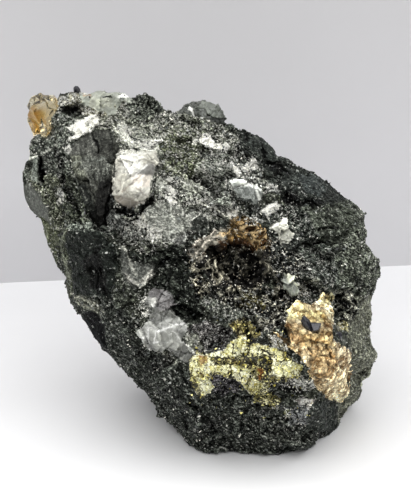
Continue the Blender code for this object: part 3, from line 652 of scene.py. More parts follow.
def honey_finish():
    """Clear honey-coloured crystal."""
    it = Finish("honey_crystal", Transmission_Weight=1.0, IOR=1.54, Roughness=0.04)
    _, _, _, facets = it.cells(2.6)
    haze = it.noise(2.2, 2.0)
    tint = it.mix(it.ranged(haze, 0.4, 0.6), (0.68, 0.58, 0.40), (1.0, 1.0, 0.98))
    it.colour(it.tinted(it.painted("ground"), tint))
    it.bump(it.plus(it.times(haze, 0.15), it.times(facets, 0.45)), 0.6)
    volume = it.node("ShaderNodeVolumeAbsorption", {"Color": (0.88, 0.80, 0.50, 1.0), "Density": 45.0})
    output = it.tree.nodes["Material Output"]
    it.tree.links.new(volume.outputs[0], output.inputs["Volume"])
    return it.material


def crystal_finish():
    """Adamantine black crystal faces with a fine growth pattern."""
    it = Finish("cassiterite_crystal", Specular_IOR_Level=0.4, IOR=1.6)
    lines = it.noise(0.35, 2.0, (1.0, 1.0, 0.2))
    it.colour(it.mix(it.ranged(lines, 0.4, 0.6), (0.008, 0.008, 0.010), (0.022, 0.022, 0.028)))
    it.roughness(it.swing(lines, 0.14, 0.3))
    it.bump(it.times(lines, 0.08), 0.6)
    return it.material


def vug_finish():
    """The vug's lining: almost black, with brown and grey points."""
    it = Finish("vug_lining", Specular_IOR_Level=0.15)
    ground = it.painted("ground")
    r1, _, r3, chips1 = it.cells(0.7)
    f1, _, _, chips2 = it.cells(0.32)
    tone = it.times(it.ramp(r1, [(0.0, 0.3), (0.5, 0.7), (0.85, 1.2), (1.0, 2.0)]), it.spread(f1, 0.5, 1.5))
    it.colour(it.tinted(ground, tone))
    it.roughness(it.spread(r3, 0.2, 0.7))
    it.bump(it.plus(chips1, it.times(chips2, 0.8)), 1.0)
    return it.material


def grain_finish(name, roughness, **sockets):
    """Loose small grains: the painted colour, a little clouded."""
    it = Finish(name, **sockets)
    cloud = it.noise(0.5, 2.0)
    it.colour(it.tinted(it.painted("ground"), it.swing(cloud, 0.8, 1.2)))
    it.roughness(it.ranged(cloud, 0.3, 0.7, *roughness))
    return it.material


# --- What is where on the front, in picture points ---

# The minerals grown into the rock: each outline shows where that piece takes over from the rock.
GROWN = table("""
cassiterite_slab: 77,143 84,136 93,131.5 102,128.5 112,131 117,146 115.5,172 113,190 110,206 106,219
    99,228 91,216 82,198 72,176 70,156
smoky_quartz: 147,291 153,286 163,287 171,297 172,308 177,319 184,323 187,331 183,339 191,351 197,356
    190,364 182,361 175,356 164,352 149,349 145,342 138,339 141,329 146,322 148,313 145,303
chalcopyrite: 191,358 197,353 206,355 217,351 228,346 235,337 230,328 229,320 239,314 249,316 258,322
    262,331 257,342 268,347 281,349 294,359 303,366 301,376 288,380 277,379 270,382 267,392 279,402
    271,406 257,403 248,394 241,383 230,379 221,377 211,377 217,389 210,395 199,392 193,379 190,369
iron_stained_crust: 272,332 277,333 285,341 289,338 287,330 289,320 288,310 295,303 300,299 305,303
    312,306 316,302 321,299 324,291 332,294 331,310 333,318 331,333 333,339 338,344 349,350 350,372
    348,393 343,403 334,401 328,399 317,389 313,378 307,367 300,355 285,344
vug_crust: 190,256 198,243 212,232 224,225 236,222 250,226 262,236 268,250 272,268 268,282 250,290 232,292
    214,286 204,274 198,264
""")

# The rock's zones, painted one over the other: an outline, the colour of its grains (0 to 255), the share of
# white quartz grains, the gloss, and how rough its relief is.
# The face at the lower left, turned down, is painted near black as painted shade.
# The ledge zone lightens the second block's top as painted light.
# The slate's five near-black patches, in the gaps behind its blocks, are painted shadow.
# The slot and hole_top zones paint the shade inside their holes.
ZONES = table("""
granular_middle: 112,108 140,96 180,112 215,122 262,152 268,190 240,214 206,226 186,240 150,252 118,246
    112,215 | 106 109 98 | 0.2 0.3 0.9
speckled_middle: 150,170 205,150 240,175 232,210 196,228 160,225 | 112 115 105 | 0.3 0.3 0.9
speckled_left: 112,222 150,212 200,226 186,242 150,240 120,241 | 110 112 106 | 0.2 0.4 1
upper_streaks: 117,116 130,118 152,132 166,140 160,158 117,160 | 124 127 115 | 0.16 0.3 0.6
around_peak: 128,108 132,96 144,88 156,96 168,108 150,122 134,122 | 68 71 64 | 0.05 0.3 1
swirl_white_a: 117,121 124,119 130,127 134,138 124,142 118,134 | 212 214 202 | 0.6 0.3 0.6
swirl_white_b: 128,137 142,139 150,142 140,148 128,147 | 190 192 180 | 0.45 0.3 0.6
swirl_white_c: 140,143 150,140 162,139 163,143 152,147 142,148 | 240 240 232 | 0.85 0.3 0.5
swirl_white_d: 117,151 130,150 146,153 150,157 118,158 | 224 224 212 | 0.75 0.3 0.5
olive_middle: 158,126 196,124 226,150 222,168 190,170 166,156 | 90 93 80 | 0.2 0.3 0.9
upper_right: 236,118 262,130 300,156 336,180 354,203 330,218 300,208 272,190 254,160 238,148 | 44 47 43 |
    0.03 0.2 0.75
slate_a: 243,124 258,130 272,146 268,158 252,150 243,138 | 56 60 56 | 0.01 0.2 0.5
slate_b: 262,140 274,148 284,160 282,170 268,162 | 62 66 62 | 0 0.2 0.4
slate_c: 296,174 312,176 328,186 322,196 306,192 | 66 71 69 | 0 0.2 0.45
slate_d: 322,180 340,190 354,205 338,208 324,198 | 46 49 46 | 0.01 0.2 0.45
slate_e: 282,166 296,170 302,184 296,192 282,182 | 58 62 58 | 0.02 0.2 0.6
slate_dark_a: 236,148 246,151 250,160 240,162 | 12 12 11 | 0.02 0.2 0.8
slate_dark_b: 268,160 279,162 286,170 278,176 269,170 | 14 15 14 | 0 0.2 0.7
slate_dark_c: 286,190 298,192 304,204 294,212 284,202 | 14 15 14 | 0.03 0.2 0.8
slate_dark_d: 304,196 318,198 326,206 312,212 | 20 21 20 | 0 0.2 0.7
slate_dark_e: 244,126 250,128 252,142 246,140 | 22 24 22 | 0 0.2 0.6
right_shelf: 300,206 345,203 366,206 366,225 352,240 318,250 298,240 292,222 | 76 80 71 | 0.03 0.3 0.6
right_end: 346,235 366,225 376,250 384,268 376,290 344,300 330,270 | 84 88 78 | 0.06 0.3 1
right_middle: 268,205 300,205 330,250 340,296 300,300 270,280 | 62 66 60 | 0.12 0.5 1
below_vug: 196,262 232,290 262,288 300,292 292,330 262,330 240,312 205,300 | 33 34 31 | 0.1 0.6 1.2
middle_dark: 110,250 150,254 200,246 210,290 200,322 176,318 158,290 112,262 | 38 41 36 | 0.03 0.5 0.95
grey_band: 196,304 206,296 230,306 262,316 286,338 262,330 232,318 | 112 116 106 | 0.16 0.4 0.9
lower_rock: 70,296 120,300 150,352 190,372 240,392 300,412 340,402 346,445 300,458 190,460 140,400 90,345
    | 56 59 54 | 0.05 0.5 0.8
mauve_rock: 186,330 210,322 232,330 226,345 206,354 196,352 | 84 82 80 | 0.1 0.5 0.9
mauve_below: 206,376 236,374 244,388 226,398 210,394 | 72 70 72 | 0.06 0.5 0.9
left_top: 26,132 64,112 78,120 74,152 70,180 40,192 24,176 | 88 92 84 | 0.09 0.3 0.8
left_olive: 28,170 58,176 66,200 62,228 46,240 34,212 | 84 87 74 | 0.07 0.3 0.85
left_slate: 18,182 26,182 38,190 46,206 50,224 40,222 22,200 | 94 96 91 | 0 0.3 0.04
slot_wall: 29,156 35,158 39,172 38,182 30,178 | 106 111 103 | 0 0.3 0.3
left_edge: 34,214 50,224 60,236 56,262 70,296 60,292 44,240 | 84 88 70 | 0.03 0.3 0.4
left_middle: 58,176 70,172 84,200 98,228 70,232 58,206 | 66 70 60 | 0.06 0.4 1
ledge: 63,224 100,223 118,228 112,236 90,232 66,233 | 98 103 95 | 0.05 0.3 0.9
second_block: 62,232 100,230 112,244 118,268 112,300 92,296 74,294 66,270 58,246 | 37 41 37 | 0.01 0.5
    0.45
black_face: 84,258 98,248 104,262 108,280 106,298 92,290 86,272 | 24 25 23 | 0 0.6 0.3
block_ridge: 64,228 68,228 64,244 70,268 74,292 70,294 65,270 58,246 | 92 96 82 | 0.02 0.3 0.6
grey_mass_left: 118,246 132,262 152,262 158,270 146,282 134,290 122,276 | 104 106 100 | 0.02 0.7 0.35
grey_mass_middle: 146,226 176,222 188,232 182,245 162,238 | 124 125 120 | 0.05 0.7 0.4
grey_by_crust: 104,206 122,210 122,228 106,230 | 92 94 90 | 0.1 0.5 0.6
pale_streak: 70,292 88,296 104,306 96,314 76,300 | 88 90 80 | 0.1 0.3 0.7
lower_left_face: 80,311 92,310 104,320 107,336 110,356 98,346 88,330 | 7 8 9 | 0 0.2 0.05
right_side: 334,300 372,296 380,360 362,400 338,442 336,400 350,390 350,345 | 116 118 104 | 0.03 0.2 0.5
right_block: 305,402 334,400 336,438 308,430 | 54 58 54 | 0.02 0.3 0.5
low_right_light: 250,408 282,404 302,414 304,444 262,446 | 68 71 65 | 0.08 0.4 1
pits_right: 332,292 348,290 358,304 352,320 338,322 333,306 | 26 27 26 | 0.06 0.4 1
vug_edge_right: 262,240 282,240 296,262 300,280 278,286 266,270 | 36 38 35 | 0.1 0.6 1.2
slab_shadow: 108,196 113,192 115,204 109,208 | 24 25 24 | 0 0.3 0.8
grey_clear_a: 143,208 158,202 178,206 196,212 193,226 178,237 158,241 146,228 | 128 130 122 | 0.08 0.5
    0.35
grey_clear_b: 192,218 200,214 208,220 208,230 200,236 192,230 | 58 60 56 | 0.03 0.5 0.35
grey_clear_c: 152,178 164,176 168,188 160,194 152,190 | 150 152 142 | 0.12 0.5 0.4
grey_clear_d: 178,178 192,176 204,184 198,194 184,192 | 118 120 110 | 0.06 0.5 0.4
grey_clear_e: 208,190 224,188 232,198 222,206 208,202 | 104 108 100 | 0.06 0.5 0.4
green_fine: 158,140 176,134 200,146 204,166 186,178 164,168 | 82 86 69 | 0.14 0.3 0.85
dark_between_a: 203,148 216,152 226,160 222,170 208,164 | 70 74 66 | 0.06 0.4 1
dark_between_b: 226,150 238,152 240,160 230,164 | 44 46 42 | 0.05 0.4 1
dark_between_c: 216,174 230,176 228,186 216,184 | 52 55 50 | 0.05 0.4 1
dark_between_d: 246,202 258,204 260,214 246,214 | 40 42 39 | 0.06 0.4 1
dark_between_e: 241,169 256,171 262,180 256,184 246,180 240,176 | 50 52 48 | 0.05 0.4 1
dark_between_f: 256,292 272,294 272,308 258,308 | 34 35 31 | 0.05 0.4 1
dark_between_g: 280,238 298,238 300,252 284,252 | 38 40 37 | 0.05 0.4 1
white_small_a: 134,216 142,214 147,222 143,228 137,225 | 214 214 200 | 0.5 0.3 0.6
white_small_b: 147,232 153,228 161,233 160,239 151,238 | 196 196 184 | 0.45 0.3 0.6
veil_left: 268,334 284,336 290,350 276,352 | 170 162 128 | 0.5 0.4 0.8
veil_mauve: 186,334 200,336 202,350 190,350 | 136 138 126 | 0.2 0.5 0.6
veil_low_left: 158,348 174,350 176,364 162,362 | 104 106 96 | 0.15 0.4 0.8
light_right: 298,278 314,280 314,294 300,294 | 100 101 88 | 0.2 0.4 1
white_foot_left: 26,133 31,131 33,136 27,138 | 230 226 214 | 0.9 0.3 0.5
white_foot_right: 42,129 47,127 49,133 45,137 40,135 | 236 232 222 | 0.9 0.3 0.5
white_wedge: 164,196 170,197 178,202 174,205 167,203 | 226 227 220 | 0.9 0.3 0.5
lump_shadow: 118,205 138,207 148,196 152,203 138,213 122,212 | 16 16 15 | 0 0.3 1
above_slab: 97,112 117,112 118,130 106,129 97,127 | 116 118 106 | 0.16 0.3 0.7
granular_right: 200,150 240,150 262,172 262,205 232,207 206,192 | 84 87 80 | 0.18 0.3 1
hole_top: 62,106 80,103 84,112 72,118 63,113 | 14 14 12 | 0 0.3 1
slot: 36,156 42,156 46,178 43,184 38,170 | 8 9 9 | 0 0.3 1
small_pits: 56,158 62,160 62,168 57,166 | 20 20 18 | 0.1 0.3 1
sparkly_top: 58,98 80,92 98,98 126,104 112,114 84,116 78,104 60,106 | 172 170 146 | 0.4 0.5 1
white_patch_top: 68.6,142.5 71,137 75,133.6 69.5,130 68.6,126 73,123.8 79.3,122 85.5,119 91,115.5 101,115
    99,119.5 96,124.6 93,130 88,133.6 81,136.5 75.7,141 | 236 238 222 | 0.95 0.3 0.4
white_by_slab: 64.5,150 70,146 74,146 72,152 68.5,154.5 66,152 | 216 220 208 | 0.7 0.3 0.6
white_left: 54,195 57,186 60,190 63,196 60,201 57,204 53.5,199 | 190 190 184 | 0.5 0.3 0.6
white_foot: 28,137 33,131 38,133 46,127 48,131 44,136 36,137 30,140 | 236 230 220 | 0.9 0.3 0.6
white_patch_a: 205,134 211,137 214,142 220,141 227.5,143 229.5,149 224,150 219.6,149 214.8,147 209,145.5
    201,143.5 200,139 | 240 240 234 | 0.9 0.3 0.6
white_patch_a2: 194,138 199,140 197,146 193.5,143 | 214 216 206 | 0.7 0.3 0.6
white_patch_b: 228,164 234,165 238,169 242,172 239,176 232,171 | 230 230 224 | 0.8 0.3 0.6
white_patch_c: 241,167 247,163 254,160 258,165 256,171 249,171 245,171 | 222 222 216 | 0.6 0.3 0.7
white_edge: 230,184 244,181 256,183 260,189 250,189 236,190 | 238 240 236 | 0.9 0.3 0.6
white_patch_d: 265,186 274,184 282,186 280,191 268,191 | 196 198 192 | 0.4 0.3 0.7
sugary_patch: 260,211 266,206 272,203 279,200 281.5,204 279,210 273,212 269,215 263,214 | 240 240 232 |
    0.9 0.3 0.7
bit_by_rim: 229,212 237,210 239,218 232,220 | 226 218 200 | 0.7 0.3 0.6
white_by_lump: 166,186 174,188 174,196 168,196 | 224 224 214 | 0.7 0.3 0.6
white_crystal_a: 132,214 144,214 148,226 140,230 132,224 | 222 222 206 | 0.7 0.3 0.6
white_crystal_b: 146,228 160,228 162,238 152,240 146,236 | 206 206 194 | 0.6 0.3 0.6
pale_edge_left: 126,272 138,282 152,270 154,274 140,287 128,281 | 156 155 146 | 0.2 0.3 0.5
orange_rim: 226,226 232,218 246,216 256,224 264,232 270,240 268,252 260,248 250,244 238,244 228,240 | 132
    110 74 | 0.24 0.5 1.2
cream_strip: 188,252 198,240 214,230 228,226 226,236 210,246 200,256 192,262 | 146 138 124 | 0.2 0.4 0.7
rusty_specks: 222,296 246,294 266,298 264,308 236,306 | 84 80 52 | 0.14 0.5 1
pale_by_crust: 336,322 346,320 349,330 338,331 | 198 190 140 | 0.2 0.4 0.8
pinkish_patch: 296,401 306,397 314,402 310,409 300,409 | 206 198 192 | 0.5 0.3 0.6
grey_specks: 284,408 308,408 306,428 290,426 | 110 112 112 | 0.16 0.4 0.9
pale_speck_low: 282,412 288,410 290,416 284,418 | 200 206 150 | 0.5 0.4 0.8
""")

# Lines on the front: where each runs, its colour, its half width in picture points and how strongly it shows.
# The pale line along the second block's ledge is a painted highlight.
# The pale line along the upper right slate's edge is a painted highlight.
LINES = table("""
vein: 30,158 38,155 48,149 58,145 | 188 190 178 | 1.2 0.8
slab_crack: 92,133 93.5,139 97,146 97.5,152 | 12 12 12 | 0.9 0.9
slab_seam: 72,163 84,161 97,160 104,156 | 100 104 98 | 0.8 0.5
ledge_edge: 64,226 76,224 90,227 103,223 110,226 | 132 138 128 | 0.9 0.45
block_edge: 66,228 61,240 61,252 66,266 68,276 | 128 132 116 | 1 0.5
lower_edge: 73,299 82,304 90,307 99,313 103,318 | 120 122 110 | 1 0.6
crack_a: 139,339 146,337 149.5,335 151,330 149.5,326 156,328 158.5,331 170,327 182,324.5 | 236 236 232 |
    0.8 0.8
crack_b: 156,331 155,342 159,340.5 | 230 230 226 | 0.7 0.7
crack_c: 149.5,335 150.5,347.5 | 220 220 216 | 0.7 0.6
crack_d: 173.5,331.5 181.5,339.5 190,347.5 196,355 | 206 206 200 | 0.6 0.6
swirl_1: 119,120 121,127 124,134 130,140 138,144 | 228 229 216 | 1.2 0.95
swirl_2: 122,139 130,144 140,148 150,150 160,147 | 232 233 222 | 1 0.95
swirl_3: 120,149 128,152 138,154 150,154 | 214 214 204 | 0.9 0.85
swirl_4: 146,143 154,140 162,140 | 246 246 238 | 1 0.95
swirl_5: 118,131 122,137 127,142 | 200 202 188 | 0.9 0.85
swirl_6: 133,136 141,139 149,139 156,136 | 196 198 186 | 1 0.85
swirl_7: 118,154 130,156 144,158 | 226 226 216 | 0.9 0.8
swirl_8: 123,117 127,125 134,131 144,133 | 186 188 176 | 0.8 0.8
swirl_9: 114,124 117,133 124,141 133,146 143,150 | 210 211 198 | 0.8 0.85
swirl_10: 126,133 132,139 141,143 152,144 | 222 223 212 | 0.7 0.85
swirl_11: 121,133 127,139 136,146 148,147 | 206 207 196 | 0.6 0.8
swirl_12: 150,133 158,136 166,136 | 214 215 204 | 0.7 0.8
swirl_dark_1: 124,127 128,133 135,138 142,141 | 34 36 32 | 0.9 0.85
swirl_dark_2: 119,143 128,148 138,151 | 40 42 38 | 0.8 0.8
swirl_dark_3: 142,145 150,146 160,143 | 46 48 44 | 0.8 0.8
fan_1: 116,161 126,162 137,168 | 150 148 138 | 0.6 0.6
fan_2: 116,167 125,169 133,175 | 156 154 144 | 0.6 0.6
crease_1: 121,192 129,186 138,179 144,175 | 134 122 108 | 0.7 0.7
crease_2: 137,187 143,194 149,197 | 128 116 104 | 0.6 0.6
crease_3: 118,180 124,187 128,193 | 146 138 126 | 0.6 0.6
facet_edge: 136,176.5 141,170 147,163 | 236 236 230 | 0.6 0.7
slate_rim: 300,166 312,174 328,181 | 150 156 154 | 0.7 0.5
slab_scratch_a: 78,168 88,176 94,188 | 112 113 106 | 0.7 0.5
slab_scratch_b: 86,160 98,170 106,182 | 116 117 110 | 0.7 0.5
slab_scratch_c: 72,174 80,186 86,198 | 96 98 90 | 0.6 0.5
left_seam: 30,158 24,168 20,178 | 30 31 28 | 0.7 0.7
pale_streak_a: 70,294 82,297 94,304 104,312 | 176 176 160 | 0.8 0.7
pale_streak_b: 76,302 88,306 98,312 | 150 150 136 | 0.7 0.7
v_rim: 126,274 132,281 139,286 146,280 153,271 | 196 194 182 | 0.5 0.5
grey_vein: 122,248 128,256 132,266 136,274 | 158 158 148 | 1 0.6
clear_edge_a: 192,219 199,213.5 207,218 209,227 | 206 206 196 | 0.6 0.7
clear_edge_b: 177,205 185,213 192,222 190,234 | 190 190 180 | 0.6 0.6
clear_edge_c: 158,203 167,211 175,216 177,228 | 182 183 172 | 0.6 0.55
clear_edge_d: 146,214 156,219 164,229 170,238 | 196 196 186 | 0.6 0.6
clear_edge_e: 200,205 212,207 222,213 232,216 | 212 210 198 | 0.7 0.6
clear_edge_f: 178,178 186,183 196,185 204,190 | 206 207 198 | 0.6 0.6
clear_edge_g: 208,190 216,195 226,197 | 196 197 188 | 0.6 0.6
clear_edge_h: 152,180 158,186 167,189 | 222 223 214 | 0.7 0.6
flow_a: 170,128 182,134 196,138 | 182 184 172 | 0.6 0.5
flow_b: 206,160 218,168 230,180 | 176 178 168 | 0.6 0.5
flow_c: 166,160 176,170 190,176 | 186 188 172 | 0.6 0.5
flow_d: 236,176 250,176 262,180 | 216 218 210 | 0.7 0.6
strip_fibre_a: 192,256 204,245 222,233 | 222 212 196 | 0.6 0.6
strip_fibre_b: 189,250 200,240 216,230 | 216 206 192 | 0.6 0.6
strip_fibre_c: 197,259 208,250 216,245 | 120 104 90 | 0.5 0.6
brass_crack_a: 231,341 233,347 232,355 | 18 18 12 | 0.4 0.8
brass_crack_b: 240,338 242,345 240,353 | 24 24 14 | 0.4 0.8
brass_crack_c: 221,348 226,352 229,357 | 24 24 14 | 0.4 0.8
brass_crack_d: 213,362 217,367 216,374 | 18 18 12 | 0.4 0.8
brass_crack_e: 230,366 228,371 230,377 | 14 14 10 | 0.6 0.9
brass_crack_f: 240,368 239,373 242,379 | 18 18 12 | 0.4 0.8
brass_crack_g: 211,358 222,358.5 234,358 246,363 256,369 | 34 32 20 | 0.7 0.8
brass_crack_h: 199,372 205,376 214,377 | 16 16 12 | 0.7 0.8
brass_crack_i: 262,350 270,357 280,360 290,360 | 16 16 12 | 0.6 0.8
tip_rust: 79,91 84,95 90,97 | 150 112 76 | 1 0.7
knob_streak: 190,106 193.5,111 197,116 199,120 | 244 244 236 | 0.8 0.9
""")

# Zones of the other minerals, which work the same. One without an outline takes in the whole mineral. In the
# brassy mass the first two numbers are the share of metal and the rust.
MINERAL_ZONES = {
    # upper_left and upper_right lighten the slab's smooth top as painted light; right_dark, beside the white
    # lump, is painted shade.
    "cassiterite_slab": table("""
whole:  | 50 51 46 | 0 0 0.5
upper_left: 76,142 92,132 97,150 96,162 74,164 70,156 | 88 89 83 | 0 0 0.12
upper_right: 93,132 108,129 116,140 114,158 98,160 | 62 63 58 | 0 0 0.2
left_grain: 68,156 90,158 96,172 80,180 70,170 | 84 86 76 | 0 0 0.9
cloud: 84,158 108,156 112,170 104,184 90,178 80,168 | 80 82 76 | 0 0 0.6
left_dark: 72,176 84,182 92,200 98,222 90,214 80,196 | 34 36 33 | 0 0 0.7
right_dark: 98,184 116,176 112,226 96,226 92,208 | 26 26 24 | 0 0 0.5
"""),
    "smoky_quartz": table("""
whole:  | 84 85 80 | 0 0 0.5
top_lobe: 145,284 172,284 176,304 166,312 152,306 | 76 74 73 | 0 0 0.5
bright_band: 138,326 150,320 186,320 188,334 178,330 160,336 140,344 | 128 129 124 | 0 0 0.45
body: 150,334 176,330 184,342 178,352 154,346 | 116 117 111 | 0 0 0.3
speck: 148,298 156,297 157,306 150,308 | 160 160 154 | 0 0 0.5
"""),
    "chalcopyrite": table("""
whole:  | 52 51 41 | 0.5 0 1
tarnished: 226,314 246,316 246,336 236,340 226,330 | 84 76 40 | 0.45 0.25 1
twig: 247,318 253,320 262,334 257,337 249,328 | 110 100 54 | 0.5 0.1 0.8
left_gold: 190,356 210,355 211,371 201,377 191,372 | 100 94 58 | 0.93 0.05 0.9
olive_band: 212,356 234,355 256,363 258,369 242,366 212,361 | 66 60 36 | 0.4 0.1 1
bright_top: 211,352 223.5,347 232,340 240,337 248,339 247,346 246,351 238.5,354 228,357 210,357 | 120 116
    80 | 1 0 0.6
bright_left: 208,361 219,365 229,366 231,372 224,377 215,373 208,370 | 120 116 80 | 0.95 0 0.6
bright_middle: 232,365 243,367 251,371 249,377 241,379 232,376 | 120 116 80 | 0.95 0 0.7
right_upper: 250,346 266,346 280,350 284,360 268,358 252,354 | 66 65 50 | 0.76 0 1
right_bright: 270,358 286,358 302,365 300,374 286,376 272,371 | 92 90 64 | 0.95 0 0.9
right_dark: 256,357 270,358 272,372 262,372 | 26 26 22 | 0.28 0 1
prong: 200,377 212,377 217,390 203,394 | 90 86 60 | 0.92 0 0.9
low_middle: 235,378 256,377 268,384 266,396 250,396 240,388 | 70 66 44 | 0.76 0.05 1
low_right: 264,390 276,392 280,404 268,408 262,400 | 66 64 42 | 0.52 0 1
dark_cleft: 244.5,319 248.5,319 250,336 260,341 252,344 244.5,340 | 6 6 5 | 0 0 1
rust_left: 199,357 208,357 209,364 200,366 | 120 84 30 | 0.8 0.75 0.9
rust_right: 257,367 264,368 266,376 259,377 | 110 66 20 | 0.5 1 0.9
"""),
    "iron_stained_crust": table("""
whole:  | 198 178 142 | 0 0 1
top_left: 286,301 300,298 305,306 304,318 288,320 | 226 212 160 | 0 0 0.8
top_middle: 304,310 318,312 330,316 330,323 308,321 | 190 172 124 | 0 0 1
white_top: 315,301 321,300 323,309 318,310 | 236 228 206 | 0 0 1
right_rim: 324,304 333,304 333,321 325,322 | 218 208 176 | 0 0 1
prong: 318,288 334,290 334,306 322,306 | 222 208 164 | 0 0 1
prong_hole: 325,294 332,294 331,301 326,300 | 70 62 26 | 0 0 1
below_crystal: 292,326 310,333 332,330 334,346 300,346 | 162 138 98 | 0 0 1
rust_left: 286,330 300,332 304,344 290,342 | 176 148 108 | 0 0 1
rust_middle: 308,350 322,346 334,352 332,378 318,374 | 184 158 118 | 0 0 1.2
pale_right: 334,342 350,350 350,372 338,372 | 206 188 156 | 0 0 1
pale_low: 322,378 350,374 346,402 330,400 | 212 196 162 | 0 0 1
cream_foot: 330,390 348,388 344,404 332,402 | 222 210 178 | 0 0 1
left_tip: 270,330 286,338 298,352 286,346 | 204 180 136 | 0 0 0.8
"""),
    "vug_crust": table("""
whole:  | 25 24 22 | 0 0 1.2
rim_top: 226,222 248,220 258,232 262,246 254,246 240,242 228,238 | 136 110 68 | 0 0 1
rim_left: 188,256 200,240 214,230 228,224 228,236 212,246 200,262 | 156 152 138 | 0 0 0.7
rim_inner: 218,238 250,240 262,250 240,254 220,250 | 62 42 24 | 0 0 1
"""),
    # The lump's bright zone is painted light on its top, and its shade zone is painted shade at its bottom.
    "white_quartz": table("""
whole:  | 172 170 158 | 0 0 0.35
bright: 118,156 136,155 144,166 134,176 120,170 | 196 195 186 | 0 0 0.4
bright_low: 134,178 152,174 152,188 146,198 132,190 | 200 198 188 | 0 0 0.3
shade: 112,196 120,195 132,199 142,203 150,199 152,215 112,215 | 98 93 83 | 0 0 0.05
facet: 136,177 147,162 158,167 155,174 144,178 | 96 95 90 | 0 0 0.05
pinkish: 134,176 150,174 150,186 138,188 | 214 206 194 | 0 0 0.2
"""),
    "top_quartz": table("""
whole:  | 150 154 142 | 0 0 0.08
bright: 119,97 122,92 130,96 126,98 120,99 | 236 237 230 | 0 0 0.1
grey: 92,90 112,88 112,96 94,98 | 128 131 120 | 0 0 0.1
dusty: 88,98 112,98 112,108 88,108 | 158 160 146 | 0 0 0.3
"""),
    "quartz_knob": table("""
whole:  | 58 61 55 | 0 0 0.8
clear: 200,102 212,100 220,110 214,118 204,114 | 92 96 88 | 0 0 0.4
"""),
    "quartz_crystal_upper": table("""
whole:  | 94 98 93 | 0 0 0.35
top: 229,180 246,180 260,183 264,190 250,185 232,185 | 216 218 210 | 0 0 0.9
right: 256,188 263,196 262,202 256,196 | 206 208 200 | 0 0 0.4
"""),
    "quartz_crystal_middle": table("""
whole:  | 158 158 146 | 0 0 0.9
edges: 268,222 290,218 290,226 270,228 | 208 208 196 | 0 0 1
"""),
    "quartz_crystal_lower": table("""
whole:  | 116 120 110 | 0 0 0.4
edge: 286,276 300,278 304,288 298,284 288,281 | 176 178 158 | 0 0 0.5
"""),
}


# --- Ledges, gaps and hollows of the front ---

# Ledges: the line each follows, how far the ground below it stands out (less than 0: lies back) in
# millimetres, and over how many picture points that fades.
LEDGES = table("""
second_block: 60,236 64,227 76,224.5 90,227 103,223.5 112,228 | 1.3 16
granular_lower: 112,230 124,246 150,253 172,251 190,260 | -1.3 16
shelf_top: 318,192 332,197 345,203 356,204 366,209 | 0.8 9
shelf_lower: 276,233 290,230 306,233 320,239 338,236 352,227 366,214 | -1 12
grey_mass: 116,258 125,276 138,288 146,284 154,272 | -1.2 10
streak_ledge: 284,160 300,168 316,180 332,186 346,198 | 0.5 8
brass_top: 190,360 205,355 219,349 232,340 | 0.7 10
brass_low: 212,380 232,379 242,386 254,400 | -0.9 10
crust_edge: 330,402 318,388 308,368 298,354 284,344 | 0.7 8
dark_ledge: 118,300 134,306 146,322 | -0.8 10
left_block: 28,160 36,150 52,146 66,138 | 0.6 10
low_ridge: 150,356 176,366 196,384 214,398 232,404 | -0.8 12
low_ridge_b: 120,384 146,396 168,416 190,428 | 0.7 12
pits_top: 330,292 344,288 360,296 | -1 8
bottom_step: 226,440 250,434 276,436 300,428 | 0.6 10
""")
# Gaps: the line each follows, its depth in millimetres and its half width in picture points.
GAPS = table("""
beside_slab: 112,184 111,196 107,206 103,222 | 0.9 1.3
under_lump: 117,207 128,211 140,211 149,204 154,194 | 1.7 2.6
beside_lump: 153,192 155,182 160,170 | 0.9 1.6
under_slab: 86,212 94,224 101,229 | 1.2 3
slate_gap_a: 238,150 243,156 246,162 | 1.4 3.6
slate_gap_b: 270,162 279,167 284,173 | 1.4 4
slate_gap_c: 288,196 294,200 300,206 | 1.3 4
slate_gap_d: 304,201 314,203 322,208 | 0.9 2.4
slate_gap_e: 262,146 266,156 | 0.7 1.6
shelf_gap_a: 320,229 330,226 338,228 | 0.9 2
shelf_gap_b: 292,221 300,216 308,217 | 0.9 2
ledge_shadow: 298,246 312,244 330,243 | 1 2
slot: 37,157 40,166 43,180 | 2 3.2
left_split: 54,148 58,158 62,168 60,178 | 1 2.4
left_split_b: 60,178 66,192 72,206 80,222 | 0.9 2.2
lower_crack: 182,396 194,406 204,416 212,426 | 1.3 2.8
lower_crack_b: 138,352 150,358 158,368 | 1.2 3
brass_cleft: 247,317 247.5,330 247,343 | 1.4 2
brass_crack: 222,363 234,366 246,371 256,374 | 0.7 1.8
beside_crust: 288,330 284,340 290,348 | 1 2.4
white_gap_a: 124,127 128,133 135,138 142,141 | 0.3 1
white_gap_b: 119,143 128,148 138,151 | 0.3 1
white_gap_c: 142,145 150,146 160,143 | 0.25 0.9
slab_crack: 92.5,132 93.5,139 97,146 98,153 | 0.5 1.3
block_stripe: 94,270 97,282 97,296 | 0.5 1.6
block_stripe_b: 101,266 104,280 103,294 | 0.5 1.6
mauve_gap: 226,330 220,342 208,350 | 0.7 2.5
low_right_gap: 268,384 278,382 288,386 298,388 | 1.2 4
""")
# Hollows: the outline of each, its depth in millimetres (less than 0: a rise), and the width of its rim.
HOLLOWS = table("""
vug: 214,248 226,244 244,244 256,248 262,262 260,280 246,287 230,283 218,270 | 3 4
round_hole: 210,251 214,249 219,251 220,257 218,261 212,262 209,257 | 2 1.6
hole_top: 64,105 72,104 82,105 82,112 74,116 66,112 | 2 4
pits_right: 334,296 344,294 350,302 346,316 338,318 334,308 | 1.6 4
streaks: 114,122 126,118 146,128 158,138 158,148 134,155 116,154 | 1.6 7
white_patch_a: 205,134 214,141 227,143 229,149 214,147 201,143 | -0.5 2
sugary_patch: 260,211 272,203 279,200 280,208 269,215 | -0.6 2
white_patch_top: 70,140 75,125 100,115 93,130 76,141 | -0.5 3
cream_strip: 190,256 200,241 226,229 224,238 204,254 194,262 | -0.7 3
grey_mass_middle: 142,228 176,224 184,232 174,246 150,248 | -0.7 4
twig: 250,318 256,322 260,334 255,336 | -0.6 2
""")
